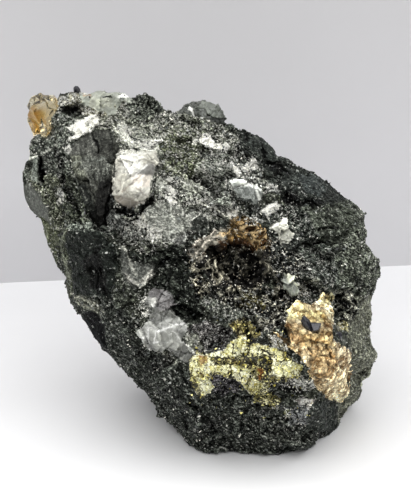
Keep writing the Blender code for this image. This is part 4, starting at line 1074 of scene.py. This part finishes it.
# Boxwork, which is honeycombs of thin pale walls round dark cells: outline, the walls' colour, the cells'
# colour, the size of the cells and their depth in millimetres, and how much of it there is.
BOXWORK = table("""
vug_ring: 198,278 204,264 212,252 226,246 244,244 260,246 272,258 286,270 298,284 292,296 274,300 256,300
    236,298 216,294 204,286 | 160 156 138 | 8 8 7 | 1.7 0.9 0.45
vug_rim: 216,236 226,226 246,224 262,232 268,246 258,252 240,248 222,248 | 184 160 118 | 62 42 22 | 1.5
    0.9 0.5
below_vug: 214,290 240,294 270,296 290,306 284,334 262,330 244,316 222,306 | 150 148 134 | 12 12 11 | 1.3
    0.6 0.5
left_of_vug: 190,264 200,262 208,276 210,296 198,296 190,280 | 156 152 134 | 14 14 12 | 1.5 0.6 0.45
pits_right: 330,292 350,290 357,304 352,322 336,322 | 152 152 138 | 10 10 9 | 2 1 0.85
right_of_vug: 266,232 284,240 300,256 310,276 296,268 276,250 | 160 160 150 | 22 22 20 | 1.4 0.5 0.4
""")
# Painted shade in the black depths of the hollows, painted over the boxwork: outlines.
DEPTHS = table("""
vug: 220,250 230,246 246,247 256,252 260,264 258,278 246,284 232,280 222,268
round_hole: 210,251 214,249 219,251 220,257 218,261 212,262 209,257
pits_right: 334,297 344,295 348,303 340,308
below_vug: 272,288 284,290 290,298 276,298
""")
# Where the skin is moved across the picture to meet the photo's outline: a line, how far outward it goes in
# millimetres, and its reach in picture points.
RIMS = table("""
left_edge: 21,150 19,168 22,188 30,205 | 0.6 9
lower_left: 96,352 112,372 134,392 150,412 172,436 | -0.4 12
lower_right: 340,432 352,410 366,385 378,362 | 0.4 10
right: 376,300 372,318 374,338 | 0.2 8
shelf: 318,176 334,186 352,202 | 0.4 9
upper_right: 266,142 276,152 286,160 | 0.5 8
knob: 218,98 228,108 230,118 | -1.2 7
top_quartz: 66,89 88,88 108,87 | -0.4 7
""")
LINE_END = 5.0  # picture points past its ends over which a ledge ends
LEDGE_WALL = 1.6  # picture points that a ledge's wall takes
WALL_BEND = 0.35  # how far the boxwork's walls wander, in millimetres
WALL_WIDTH = 0.16  # how thick they are, in cells


def line_sides(points, line):
    """How far each 2-D point lies from a line, how far below it (less than 0: above it), and how much it lies
    between the line's ends: 1 beside the line, 0 well past an end.
    """
    corners = np.array(line, float)
    nearest = np.full(len(points), np.inf)
    below = np.zeros(len(points))
    within = np.ones(len(points))
    last = len(corners) - 2
    for i, (a, b) in enumerate(zip(corners[:-1], corners[1:])):
        step = b - a
        share = (points - a) @ step / (step @ step)
        away = np.linalg.norm(points - a - np.clip(share, 0, 1)[:, None] * step, axis=1)
        side = step[0] * (points[:, 1] - a[1]) - step[1] * (points[:, 0] - a[0])
        past = np.maximum(-share if i == 0 else 0.0, (share - 1) if i == last else 0.0) * np.linalg.norm(step)
        closer = away < nearest
        nearest = np.where(closer, away, nearest)
        below = np.where(closer, np.sign(side) * away, below)
        within = np.where(closer, smooth_step(1 - past / LINE_END), within)
    return nearest, below, within


def carved(points, seen):
    """How far the ledges, gaps and hollows lie back at each point, and how deep in a gap it is (0 to 1)."""
    depth, gap = np.zeros(len(seen)), np.zeros(len(seen))
    uneven = 1 + 0.9 * soft_noise(points, 1.5, 95)
    for line, (rise, reach) in LEDGES.values():
        near = in_box(seen, line, 3 * reach)
        _, below, within = line_sides(seen[near], line)
        wall = smooth_step(below / LEDGE_WALL + 0.5) * np.exp(-np.maximum(below, 0) / reach)
        depth[near] -= rise * within * wall
    for line, (deep, half_width) in GAPS.values():
        near = in_box(seen, line, 2 * half_width + 2)
        away, _, _ = line_sides(seen[near], line)
        share = smooth_step(1.3 - away / half_width / uneven[near]) * np.minimum(uneven[near], 1)
        depth[near] += deep * share
        gap[near] = np.maximum(gap[near], share)
    for outline, (deep, rim) in HOLLOWS.values():
        near = in_box(seen, outline, rim)
        depth[near] += deep * cover(seen[near], outline, rim)
    return depth, gap


def honeycombed(points, seen, colour, allowed):
    """Paints the boxwork, and the black depths as painted shade, where it is allowed. Returns how far the
    cells lie back.
    """
    depth = np.zeros(len(points))
    for i, (outline, wall_tint, cell_tint, (size, deep, amount)) in enumerate(BOXWORK.values()):
        near = in_box(seen, outline, ZONE_EDGE) & allowed
        near[near] = inside_distance(seen[near], outline) > -ZONE_EDGE
        here = points[near]
        bent = here + WALL_BEND * np.column_stack([soft_noise(here, 0.9, 101 + k) for k in range(3)])
        wall = smooth_step(1.5 - cell_walls(bent, size, 105 + 5 * i) / WALL_WIDTH)
        within = cover(seen[near], outline, ZONE_EDGE)
        within *= smooth_step((soft_noise(here, 2.2, 99 + i) + 2 * amount - 1) * 3 + 0.5)
        shade = (0.55 + 0.9 * hashed(np.floor(here / 0.45).astype(np.int64), 7))[:, None]
        tint = linear(cell_tint) * (1 - wall[:, None]) + linear(wall_tint) * shade * wall[:, None]
        blend(colour, near, tint, within)
        depth[near] += deep * (1 - wall) * within
    for outline in DEPTHS.values():
        near = in_box(seen, outline, DEPTH_EDGE) & allowed
        colour[near] *= (1 - cover(seen[near], outline, DEPTH_EDGE) * DEPTH_SHADE)[:, None]
    return depth


def rim_shift(points, normals):
    """How far each point moves across the picture to meet the photo's outline."""
    seen = picture_of(points)
    flat = normals * [1, 0, 1]
    flat /= np.maximum(np.linalg.norm(flat, axis=1), 1e-6)[:, None]
    sideways = smooth_step((0.9 - np.abs(normals[:, 1])) / 0.6)
    shift = np.zeros(len(points))
    for line, (outward, reach) in RIMS.values():
        away, _, _ = line_sides(seen, line)
        shift += outward * smooth_step(1.4 - away / reach)
    return flat * (shift * sideways)[:, None]


# --- The skin ---

ROCK_COLOUR = linear((60, 63, 56))
ROCK_VALUES = (0.05, 0.3, 0.7)  # the rock's share of white grains, its gloss and its relief
ZONE_EDGE = 3.0  # picture points over which a zone fades
PATCH_EDGE = 1.2  # the same for a white patch
WHITE_SHARE = 0.5  # a zone with at least this share of white grains is a white patch
RAGGED_NOISE = ((2.6, 0.5), (1.1, 0.3), (0.5, 0.2))  # size of the noise at outlines, and its share
SKIN_CHIPS = ((10.0, 1.2), (5.0, 0.8), (2.4, 0.4), (1.1, 0.2), (0.55, 0.1))  # size and height of the chips
DEPTH_EDGE = 4.0  # picture points over which the painted shade of a black depth fades
DEPTH_SHADE = 0.8  # how much of the light it takes
CAVITY_SHADE = 3.5  # painted shade: how much darker the rock is for each millimetre of a crevice's depth
GAP_SHADE = 2.2  # and how much painted shade darkens it in a gap
LINE_TONE = 1.28  # how much lighter a line is painted, as the rock's own tone darkens it
LINE_VALUES = (0.0, 0.4, 0.1)  # the share, gloss and relief along a line
CRUST_GRAINS = ((1.7, 0.55), (0.9, 0.3))  # size and height of the crust's nodules
CRUST_CHIPS = 0.4  # how much of the chips' height the crust keeps
CRUST_TINTS = (0.6, 1.6)  # how dark and how light a nodule of the crust can be
CRUST_PALING = np.array([0.9, 1.0, 1.12])  # a light nodule is whiter, a dark one browner
# The crystals that stand in the skin and are pieces of their own.
STANDING = ("honey_crystals", "cassiterite_tip", "cassiterite_twin", "cassiterite_grain")
HOLD = 3.0  # how far round a standing crystal the skin is held
FULL_HOLD = 0.6  # how near to it the skin stays still
CRYSTAL_FILLET = 0.3  # how far the skin rises to meet it
LARGE_CHIP = 3.0  # chips larger than this are left off the outline
LUMP_NEAR = 0.3  # how near to a lump's swollen face the skin is the lump's
OUTLINED_NEAR = 1.5  # the same for a lump that has an outline
# What some of the lumps show of themselves, in picture points.
LUMP_OUTLINES = table("""
quartz_crystal_upper: 230,184 237,181 250,181 258,183 264,192 264,199 254,204 243,200 233,193
quartz_crystal_middle: 270,222 278,219 286,220 288,229 291,234 286,244 279,241 278,233 269,228
quartz_crystal_lower: 280,283 287,278 300,279 303,286 299,295 289,294 281,288
white_quartz: 114,158 124,155 136,155 148,150 156,150 158,166 154,175 151,184 150,197 144,203 132,207.5
    122,206.5 115,201 112.5,193 112.5,186 114,174
""")


def ragged(points, reach=4.0):
    """Where points are seen, shifted by noise so that outlines come out ragged."""
    seen = picture_of(points)
    for size, share in RAGGED_NOISE:
        for axis in (0, 1):
            seen[:, axis] += reach * share * soft_noise(points, size, 31 + axis)
    return seen


def natural(points):
    """The rock's own colour and values, before any zone: patches of lighter, darker and whiter rock."""
    shade = 1 + 0.3 * soft_noise(points, 7.0, 81) + 0.25 * soft_noise(points, 2.6, 82)
    colour = ROCK_COLOUR * shade[:, None]
    colour[:, 2] *= 1 - 0.12 * soft_noise(points, 5.0, 83)
    values = np.tile(ROCK_VALUES, (len(points), 1)).astype(float)
    values[:, 0] += 0.4 * smooth_step((soft_noise(points, 5.0, 84) - 0.35) * 3)
    values[:, 2] += 0.3 * soft_noise(points, 9.0, 85)
    return colour, values


def paint(colour, values, zones, seen, strength=1.0):
    """Paints zones one over the other on arrays of colour (linear) and values (share, gloss, relief).
    A zone with an outline keeps half of what was lighter or darker there.
    """
    strength = np.broadcast_to(strength, len(seen))
    for outline, tint, zone_values in zones.values():
        near, within, shade = np.ones(len(seen), bool), np.ones(len(seen)), 1.0
        if outline:
            edge = PATCH_EDGE if zone_values[0] >= WHITE_SHARE else ZONE_EDGE
            near = in_box(seen, outline, edge)
            within = cover(seen[near], outline, edge)
            shade = colour[near].sum(axis=1, keepdims=True) / sum(ROCK_COLOUR)
            shade = 1 + 0.5 * (np.clip(shade, 0.5, 1.5) - 1)
        within = within * strength[near]
        blend(colour, near, linear(tint) * shade, within)
        blend(values, near, np.array(zone_values), within)


def draw_lines(colour, values, seen, strength, rock):
    """Draws the veins, edges and cracks on arrays of colour and values."""
    for line, tint, (half_width, share) in LINES.values():
        near = in_box(seen, line, 4)
        away, _, _ = line_sides(seen[near], line)
        within = strength[near] * share * smooth_step(1.5 - away / half_width)
        tone = np.where(rock[near], LINE_TONE, 1.0)[:, None]
        blend(colour, near, tone * linear(tint), within)
        blend(values, near, np.array(LINE_VALUES), within)


def chipped(points, normals):
    """The height of the broken surface; the large chips are left off where the rock turns from the camera."""
    level = smooth_step((np.abs(normals[:, 1]) - 0.15) / 0.45)
    total = np.zeros(len(points))
    for i, (size, height) in enumerate(SKIN_CHIPS):
        total += height * chips(points, size, 11 + i, 1.6, 0.3) * (level if size > LARGE_CHIP else 1.0)
    return total


def nodules(points):
    """The height of the crust's rounded nodules."""
    grains = enumerate(CRUST_GRAINS)
    return sum(height * (0.7 - cell_pattern(points, size, 51 + i)[1]) for i, (size, height) in grains)


def near_lump(name, points):
    """Which points lie on a lump's swollen face."""
    chosen, distance = near_solid(name, points, OUTLINED_NEAR, SKIN_SWELL)
    ragged_near = LUMP_NEAR * (1 + 0.8 * soft_noise(points[chosen], 0.8, 91))
    chosen[chosen] = distance < (OUTLINED_NEAR if name in LUMP_OUTLINES else ragged_near)
    return chosen


def away_from_crystals(points):
    """How freely the skin may move: 0 beside a crystal that stands on it, 1 well away from it."""
    free = np.ones(len(points))
    for name in STANDING:
        near, distance = near_solid(name, points, HOLD)
        free[near] = np.minimum(free[near], smooth_step((distance - FULL_HOLD) / (HOLD - FULL_HOLD)))
    return free


# The node of each mineral in the skin: its slot, the maker of its finish, and what the maker is told. For
# quartz that is a name, how much its cracks show, its roughness, its cloudiness and how much its fibres show.
SKIN_MAKERS = {
    "rock_matrix": ("chlorite_rock", rock_finish),
    "cassiterite_slab": ("cassiterite", slab_finish),
    "smoky_quartz": ("smoky_quartz", quartz_finish, "smoky_quartz", 0.12, (0.2, 0.45), 0.25, 0.25),
    "chalcopyrite": ("chalcopyrite", brass_finish),
    "iron_stained_crust": ("iron_crust", crust_finish),
    "vug_crust": ("vug_crust", vug_finish),
    "white_quartz": ("white_quartz", quartz_finish, "white_quartz_lump", 0.1, (0.35, 0.6), 0.35, 0.4),
    "top_quartz": ("white_quartz", quartz_finish, "top_quartz_dome", 0.12, (0.2, 0.5), 0.35, 0.3),
    "quartz_knob": ("smoky_quartz", quartz_finish, "quartz_knob_mass", 0.08, (0.25, 0.5), 0.2),
    "quartz_crystal_upper": ("smoky_quartz", quartz_finish, "quartz_upper", 0.2, (0.15, 0.4), 0.2),
    "quartz_crystal_middle": ("smoky_quartz", quartz_finish, "quartz_middle", 0.2, (0.2, 0.45), 0.3),
    "quartz_crystal_lower": ("smoky_quartz", quartz_finish, "quartz_lower", 0.2, (0.15, 0.4), 0.2),
}
SKIN_NODES = list(SKIN_MAKERS)  # a point of the skin belongs to a node by its number in this list
ROCK_BANDS = {"front": ["lower", "middle", "upper"], "back": ["lower", "upper"]}


def rock_parts(height, rock, away):
    """The rock's skin in bands by height, each side cut into bands of about equal numbers of faces.
    The rock's skin in bands by height, each under 200,000 triangles.
    """
    parts = {}
    for side, part in (("front", ~away), ("back", away)):
        names = ROCK_BANDS[side]
        cuts = np.quantile(height[rock & part], np.linspace(0, 1, len(names) + 1)[1:-1])
        band = np.searchsorted(cuts, height)
        parts.update({f"rock_{side}_{name}": part & (band == i) for i, name in enumerate(names)})
    return parts


def skin_pieces():
    """Dresses the rock and the minerals grown into it in one skin, cut into a piece for each of them."""
    meshes = [node_bmesh(name, SKIN_SWELL if i else 0.0) for i, name in enumerate(SKIN_NODES)]
    vertices, quads = voxel_skin(meshes, VOXEL)
    vertices, quads = refined(smoothed(vertices, quads, SKIN_SMOOTHING), quads)
    normals = normals_of(vertices, quads)
    seen = ragged(vertices)
    towards = smooth_step((TOWARDS_LIMIT - normals[:, 1]) / TURN_EDGE)  # 1 where the skin faces the camera
    facing = smooth_step((RIM_LIMIT - normals[:, 1]) / TURN_EDGE)  # the same, with the rims in it

    colour, values = natural(vertices)
    paint(colour, values, ZONES, seen, facing)
    owner = np.zeros(len(vertices), int)
    outlines = GROWN | LUMP_OUTLINES
    for i, name in enumerate(SKIN_NODES[1:], 1):
        within = normals[:, 1] < GROWN_LIMIT if name in GROWN else near_lump(name, vertices)
        if name in outlines:
            within &= in_box(seen, outlines[name], 0)
            within[within] = inside_distance(seen[within], outlines[name]) > 0
        mineral_colour, mineral_values = colour[within], values[within]
        paint(mineral_colour, mineral_values, MINERAL_ZONES[name], seen[within])
        colour[within], values[within] = mineral_colour, mineral_values
        owner[within] = i
    calm = smoothed(vertices, quads, DOME_SMOOTHING)
    weight = smoothed((owner == SKIN_NODES.index("top_quartz")).astype(float)[:, None], quads, EDGE_SMOOTHING)
    vertices = vertices + (calm - vertices) * weight * away_from_crystals(vertices)[:, None]
    normals = normals_of(vertices, quads)
    cells = honeycombed(vertices, seen, colour, (owner == 0) | (owner == SKIN_NODES.index("vug_crust")))
    draw_lines(colour, values, seen, towards, owner == 0)
    values[:, 2] = smoothed(values[:, 2:], quads, RELIEF_SMOOTHING)[:, 0]

    raised = chipped(vertices, normals) * values[:, 2]
    crust = owner == SKIN_NODES.index("iron_stained_crust")
    raised[crust] = CRUST_CHIPS * raised[crust] + nodules(vertices[crust])
    for i, (size, _) in enumerate(CRUST_GRAINS):
        key = cell_pattern(vertices[crust], size, 51 + i)[2]
        light = CRUST_TINTS[0] + (CRUST_TINTS[1] - CRUST_TINTS[0]) * hashed(key, 61 + i)
        colour[crust] *= light[:, None] ** CRUST_PALING
    depth, gap = carved(vertices, seen)
    # Painted shade: the colour is darkened in the crevices of the broken surface and in the gaps.
    cavity = raised - smoothed(raised[:, None], quads, CAVITY_SMOOTHING)[:, 0]
    colour *= np.exp(CAVITY_SHADE * np.clip(cavity, -0.4, 0.2) - GAP_SHADE * gap * towards)[:, None]
    free = away_from_crystals(vertices)
    shift = rim_shift(vertices, normals) * free[:, None]
    vertices = vertices + normals * (raised * free + CRYSTAL_FILLET * (1 - free))[:, None] + shift
    vertices[:, 1] += (depth + cells) * towards * free

    label = np.array([(owner[quads] == i).sum(axis=1) for i in range(len(SKIN_NODES))]).argmax(axis=0)
    away = normals[quads].mean(axis=1)[:, 1] >= FRONT_LIMIT
    grain = np.column_stack([values[:, 0], values[:, 1], np.clip(values[:, 2] * 1.2, 0, 1)])
    rock = rock_parts(vertices[quads].mean(axis=1)[:, 2], label == 0, away)
    for i, (node, (slot, maker, *told)) in enumerate(SKIN_MAKERS.items()):
        finish = maker(*told)
        for name, part in (rock if i == 0 else {f"{node}_skin": True}).items():
            used, faces = np.unique(quads[(label == i) & part], return_inverse=True)
            shades = {"ground": colour[used], "grain": grain[used]}
            add_piece(name, vertices[used], faces.reshape(-1, 4), finish, [node], shades)
    return vertices, quads, label


HONEY_COLOUR = linear((236, 231, 210))
HONEY_BEVEL = 0.2  # how far the cluster's sharp edges are rounded, in millimetres
FLAT_ANGLE = 0.02  # faces that turn by less are made one
SHARP_ANGLE = 0.2  # edges that turn by more are rounded
HONEY_FACET = 1.2  # longer edges are divided, in millimetres
HONEY_WAIST = 106  # above this picture line the cluster is brought down
HONEY_DROP = 0.45  # by up to this much, in millimetres
HONEY_DROP_REACH = 14  # over this many picture points
HONEY_BAND = 3  # picture points above and below a line, where the solid's own edges are looked for
HONEY_ZONE_EDGE = 4  # picture points over which a zone fades
HONEY_EDGES = [  # picture line, the cluster's left and right edge there
    (92, 33.0, 54.5), (97, 29.4, 57.0), (103, 28.0, 59.5), (109, 27.0, 59.5),
    (116, 26.0, 58.0), (122, 27.4, 55.0), (128, 30.4, 52.0), (134, 31.4, 49.0),
]
HONEY_ZONES = table("""
amber: 28,110 36,108 40,118 37,134 28,134 | 206 156 72
amber_middle: 38,108 46,110 46,120 40,122 | 222 192 124
""")


def honey_piece():
    """The honey crystals: the CAD cluster with softened edges, fitted to the photo's outline."""
    bm = node_bmesh("honey_crystals")
    bmesh.ops.dissolve_limit(bm, angle_limit=FLAT_ANGLE, verts=bm.verts, edges=bm.edges)
    sharp = [e for e in bm.edges if len(e.link_faces) == 2 and e.calc_face_angle(0) > SHARP_ANGLE]
    rounding = {"offset": HONEY_BEVEL, "segments": 2, "profile": 0.6, "clamp_overlap": True}
    bmesh.ops.bevel(bm, geom=sharp, affect="EDGES", **rounding)
    bmesh.ops.triangulate(bm, faces=bm.faces)
    wide = [e for e in bm.edges if e.calc_length() > HONEY_FACET]
    bmesh.ops.subdivide_edges(bm, edges=wide, cuts=2, use_grid_fill=True)
    bmesh.ops.triangulate(bm, faces=bm.faces)
    vertices = np.array([v.co for v in bm.verts])
    faces = np.array([[v.index for v in f.verts] for f in bm.faces])
    bm.free()
    seen = picture_of(vertices)
    line, new_left, new_right = np.array(HONEY_EDGES, float).T
    bands = [seen[np.abs(seen[:, 1] - height) < HONEY_BAND, 0] for height in line]
    edges = ([band.min() for band in bands], [band.max() for band in bands], new_left, new_right)
    left, right, new_left, new_right = (np.interp(seen[:, 1], line, edge) for edge in edges)
    share = (seen[:, 0] - left) / (right - left)
    vertices[:, 0] += (new_left + share * (new_right - new_left) - seen[:, 0]) * PIXEL
    vertices[:, 2] -= HONEY_DROP * smooth_step((HONEY_WAIST - seen[:, 1]) / HONEY_DROP_REACH)
    colour = np.tile(HONEY_COLOUR, (len(vertices), 1))
    for outline, tint in HONEY_ZONES.values():
        blend(colour, slice(None), linear(tint), cover(seen, outline, HONEY_ZONE_EDGE))
    shades = {"ground": colour}
    add_piece("honey_cluster", vertices, faces, honey_finish(), ["honey_crystals"], shades)


# --- Loose grains ---

NEEDLE_STRETCH = 3.2  # how much longer than wide the needles are
GRAIN_LIMIT = 0.2  # grains stand on faces whose normal's y is below this
GRAIN_LIFT = 0.15  # how far a grain stands out of the skin, in its own sizes
GRAIN_BREAKS = 0.25  # how far its corners are moved, in its own sizes
# The small crystals on the front: how many, the least and most of their size and of their roughness, and
# their colours.
GRAIN_KINDS = table("""
white_grains: 2600 0.10 0.30 0.3 0.55 | 238,236,224 214,212,200 196,196,188
grey_grains: 2600 0.12 0.38 0.15 0.4 | 120,122,116 96,100,96 150,152,146
dark_grains: 3000 0.15 0.35 0.2 0.45 | 30,33,31 22,24,24 44,49,44
needles: 700 0.07 0.14 0.2 0.45 | 214,208,190 190,186,170 170,160,136 228,226,214
brass_grains: 700 0.12 0.35 0.2 0.45 | 236,230,160 214,206,130 160,150,80
""")
GRAIN_FIELDS = table("""
needles: 180,262 196,240 226,224 262,228 290,244 312,280 300,312 280,336 250,318 214,306 188,290
brass_grains: 184,340 232,308 268,316 310,352 316,416 262,430 190,410
""")
GRAIN_SIDES = [(1, 0, 0), (-1, 0, 0), (0, 1, 0), (0, -1, 0), (0, 0, 1), (0, 0, -1)]
GRAIN_FACES = [(0, 2, 4), (2, 1, 4), (1, 3, 4), (3, 0, 4), (2, 0, 5), (1, 2, 5), (3, 1, 5), (0, 3, 5)]


def grain_chance(kind, share, relief, label, seen):
    """How likely a grain of this kind stands at each place: share and relief are the skin's values there,
    label the number of its node, and seen where it is in the picture.
    """
    names = ("rock_matrix", "chalcopyrite", "vug_crust")
    rock, brass, vug = (label == SKIN_NODES.index(name) for name in names)
    if kind == "white_grains":
        return np.where(rock, np.clip(share * 2.4, 0, 1) ** 1.5, 0.0)
    if kind == "grey_grains":
        return np.where(rock, np.clip(0.05 + share * 2.0, 0, 0.7), 0.0)
    if kind == "dark_grains":
        rough = np.clip(relief, 0.0, 1.0) ** 2 * (0.8 - np.clip(share, 0, 0.7))
        return np.where(rock, rough, np.where(brass, 0.15, 0.0))
    near = inside_distance(seen, GRAIN_FIELDS[kind])
    if kind == "needles":
        return np.where(rock | vug, np.clip(near / 8, 0, 1), 0.0)
    return np.where(brass, 0.8, np.where(rock, np.clip(near / 30, 0, 0.06), 0.0))


def grain_pieces(skin):
    """Small broken crystals that stand on the skin, one piece for each kind."""
    vertices, quads, label = skin
    draw = np.random.default_rng(12)
    normals = normals_of(vertices, quads)
    centres, facing = vertices[quads].mean(axis=1), normals[quads].mean(axis=1)
    seen = ragged(centres)
    colour, values = natural(centres)
    paint(colour, values, ZONES, seen)
    sides, corners = np.array(GRAIN_SIDES, float), np.array(GRAIN_FACES)
    for kind, ((count, least, most, *gloss), colours) in GRAIN_KINDS.items():
        count = int(count)
        weight = grain_chance(kind, values[:, 0], values[:, 2], label, seen) * (facing[:, 1] < GRAIN_LIMIT)
        chosen = draw.choice(len(centres), count, p=weight / weight.sum())
        size = (least + (most - least) * draw.random(count) ** 2)[:, None]
        axes = draw.normal(size=(count, 3, 3))
        axes /= np.linalg.norm(axes, axis=2)[:, :, None]
        stretch = 0.55 + 0.9 * draw.random((count, 6))
        stretch[:, :2] *= NEEDLE_STRETCH if kind == "needles" else 1.0
        shape = sides[None] * stretch[:, :, None] * size[:, None]
        shape += GRAIN_BREAKS * size[:, None] * draw.normal(size=(count, 6, 3))
        standing = centres[chosen] + facing[chosen] * size * GRAIN_LIFT
        places = np.einsum("nij,njk->nik", shape, axes) + standing[:, None]
        faces = corners[None] + (np.arange(count) * 6)[:, None, None]
        shades = np.array([linear(tint) for tint in colours])[draw.integers(len(colours), size=count)]
        shades = {"ground": np.repeat(shades * draw.uniform(0.8, 1.1, (count, 1)), 6, axis=0)}
        brass = kind == "brass_grains"
        finish = grain_finish(kind, gloss, **({"Metallic": 1.0} if brass else {}))
        places, faces = places.reshape(-1, 3), faces.reshape(-1, 3)
        add_piece(kind, places, faces, finish, ["chalcopyrite"] if brass else [], shades)


# --- Stage ---

STAGE_ROUGHNESS = 0.6
# Each surface of the stage: its corners in millimetres, its colours near and far, the axis along which one
# changes to the other (1 is y, 2 is z), and from where to where, in millimetres.
# The far colour is darker: painted shade towards the back of the floor and towards the top of the wall.
STAGE = {
    "floor": (
        [(-900, -900, 0), (900, -900, 0), (900, 900, 0), (-900, 900, 0)],
        (0.80, 0.80, 0.80), (0.62, 0.62, 0.63), 1, (-50.0, 70.0),
    ),
    "wall": (
        [(-900, -20, 0), (900, 197, 0), (900, 197, 900), (-900, -20, 900)],
        (0.53, 0.525, 0.54), (0.45, 0.445, 0.45), 2, (30.0, 110.0),
    ),
}
LAMPS = {  # place, width and depth in metres, and watts
    "overhead": ((0.0, -0.13, 0.55), (1.1, 1.0), 11.4),
    "fill": ((0.05, -0.55, 0.25), (0.35, 0.35), 0.4),
}
LAMP_AIM = Vector((0, 0, 0.03))
STUDIO_LIGHT = 0.11  # strength of the light from all round
CLIPPING = (0.01, 10.0)  # how near and how far the camera sees, in metres


def plain_finish(name, near, far, axis, span, one_sided):
    """A plain painted surface that darkens along one axis as painted shade. A one-sided one doesn't hide the
    specimen from behind.
    """
    it = Finish(name)
    along = it.node("ShaderNodeSeparateXYZ", {0: it.place}).outputs[axis]
    base = it.mix(it.ranged(along, *span), near, far)
    it.colour(it.tinted(base, it.swing(it.noise(30.0, 2.0), 0.985, 1.0)))
    it.roughness(it.swing(it.noise(8.0, 2.0), STAGE_ROUGHNESS - 0.05, STAGE_ROUGHNESS + 0.05))
    if one_sided:
        behind = it.node("ShaderNodeNewGeometry").outputs["Backfacing"]
        clear = it.node("ShaderNodeBsdfTransparent").outputs[0]
        facing = it.node("ShaderNodeMixShader", {0: behind, 1: it.shader.outputs[0], 2: clear})
        it.wire(facing.outputs[0], it.tree.nodes["Material Output"].inputs["Surface"])
    return it.material


def stage():
    """A white floor and a pale wall behind it."""
    for name, (corners, near, far, axis, span) in STAGE.items():
        mesh = bpy.data.meshes.new(name)
        mesh.from_pydata([tuple(c * MM for c in corner) for corner in corners], [], [(0, 1, 2, 3)])
        mesh.materials.append(plain_finish(name, near, far, axis, span, name == "wall"))
        piece = bpy.data.objects.new(name, mesh)
        bpy.context.scene.collection.objects.link(piece)


def light_and_camera():
    """Two soft lamps, light from all round, and the camera where the photo was taken."""
    scene = bpy.context.scene
    for name, (place, size, watts) in LAMPS.items():
        data = bpy.data.lights.new(name, "AREA")
        data.shape = "RECTANGLE"
        data.size, data.size_y = size
        data.energy = watts
        made = bpy.data.objects.new(name, data)
        made.location = place
        made.rotation_euler = (LAMP_AIM - made.location).to_track_quat("-Z", "Y").to_euler()
        scene.collection.objects.link(made)
    world = bpy.data.worlds.new("studio")
    world.use_nodes = True
    background = world.node_tree.nodes["Background"]
    background.inputs["Color"].default_value = (*WHITE, 1.0)
    background.inputs["Strength"].default_value = STUDIO_LIGHT
    scene.world = world
    scene.view_settings.view_transform = "Standard"
    camera = bpy.data.cameras.new("camera")
    camera.lens = camera.sensor_width * (-STATION[1] / PIXEL) / PICTURE_LONG_SIDE
    camera.clip_start, camera.clip_end = CLIPPING
    holder = bpy.data.objects.new("camera", camera)
    holder.location = to_world(STATION[None])[0]
    holder.rotation_euler = (math.radians(90) - LEAN, 0, 0)
    scene.collection.objects.link(holder)
    scene.camera = holder


# --- Crystals ---

# The cassiterite crystals of each node: the outline in picture points, and the points of the ridges with how
# far each stands out of the outline's plane in millimetres.
CRYSTALS = {
    "cassiterite_grain": table("""
grain: 334.6,333 337,331 341,332 342.5,336 341,339.6 337,339.4 334.8,337 | 337.5,334,0.8 340,337,0.6
"""),
    "cassiterite_tip": table("""
tip: 73.4,87.6 75.4,85.8 78,86.2 80.2,88.8 81,93 77,95 73.6,92 | 76.4,88.4,0.8 78.6,91.5,0.7
"""),
    "cassiterite_twin": table("""
twin_left: 300.8,320.7 303,315.5 305,316 309.5,320 311.5,323.6 311.5,331.8 306,330.5 302.6,326 |
    306,321,0.9 308.5,328,0.8
twin_right: 310.2,322.3 316,323 321.4,323 320.6,328 319.5,331.8 311,332.4 | 313.5,331,1.1 318.6,329.5,0.9
    316,324,0.35 311.5,323.5,0.3
"""),
}
CRYSTAL_THICKNESS = 2.2  # from the outline's plane to the far side, in millimetres
CRYSTAL_TAPER = 0.8  # how wide the far side is beside the outline
CRYSTAL_LEVEL = 0.35  # where the outline's plane lies between the solid's near and far side
CRYSTAL_BEVEL = 0.05  # how far the edges are rounded, in millimetres
CRYSTAL_ANGLE = 0.25  # edges that turn by more are rounded


def crystal_pieces():
    """The single cassiterite crystals, each a faceted body on the picture's outline of it."""
    finish = crystal_finish()
    for node, crystals in CRYSTALS.items():
        solid = node_bmesh(node)
        depths = np.array([v.co.y for v in solid.verts])
        solid.free()
        level = depths.min() + CRYSTAL_LEVEL * (depths.max() - depths.min())
        vertices, faces = [], []
        for outline, ridges in crystals.values():
            bm = bmesh.new()
            middle = np.mean(outline, axis=0)
            rings = [(*p, 0.0) for p in outline] + ridges
            smaller = [middle + CRYSTAL_TAPER * (np.array(p) - middle) for p in outline]
            rings += [(*p, -CRYSTAL_THICKNESS) for p in smaller]
            for px, py, out in rings:
                bm.verts.new(placed(px, py, level - out))
            hull = bmesh.ops.convex_hull(bm, input=bm.verts)
            bmesh.ops.delete(bm, geom=[g for g in hull["geom_interior"] if g.is_valid], context="VERTS")
            edges = [e for e in bm.edges if e.calc_face_angle(0) > CRYSTAL_ANGLE]
            rounding = {"offset": CRYSTAL_BEVEL, "segments": 1, "clamp_overlap": True}
            bmesh.ops.bevel(bm, geom=edges, affect="EDGES", **rounding)
            bmesh.ops.triangulate(bm, faces=bm.faces)
            bm.verts.index_update()
            faces += [[v.index + len(vertices) for v in f.verts] for f in bm.faces]
            vertices += [tuple(v.co) for v in bm.verts]
            bm.free()
        add_piece(f"{node}_crystal", np.array(vertices), np.array(faces), finish, [node])


light_and_camera()
stage()
skin = skin_pieces()
honey_piece()
grain_pieces(skin)
crystal_pieces()
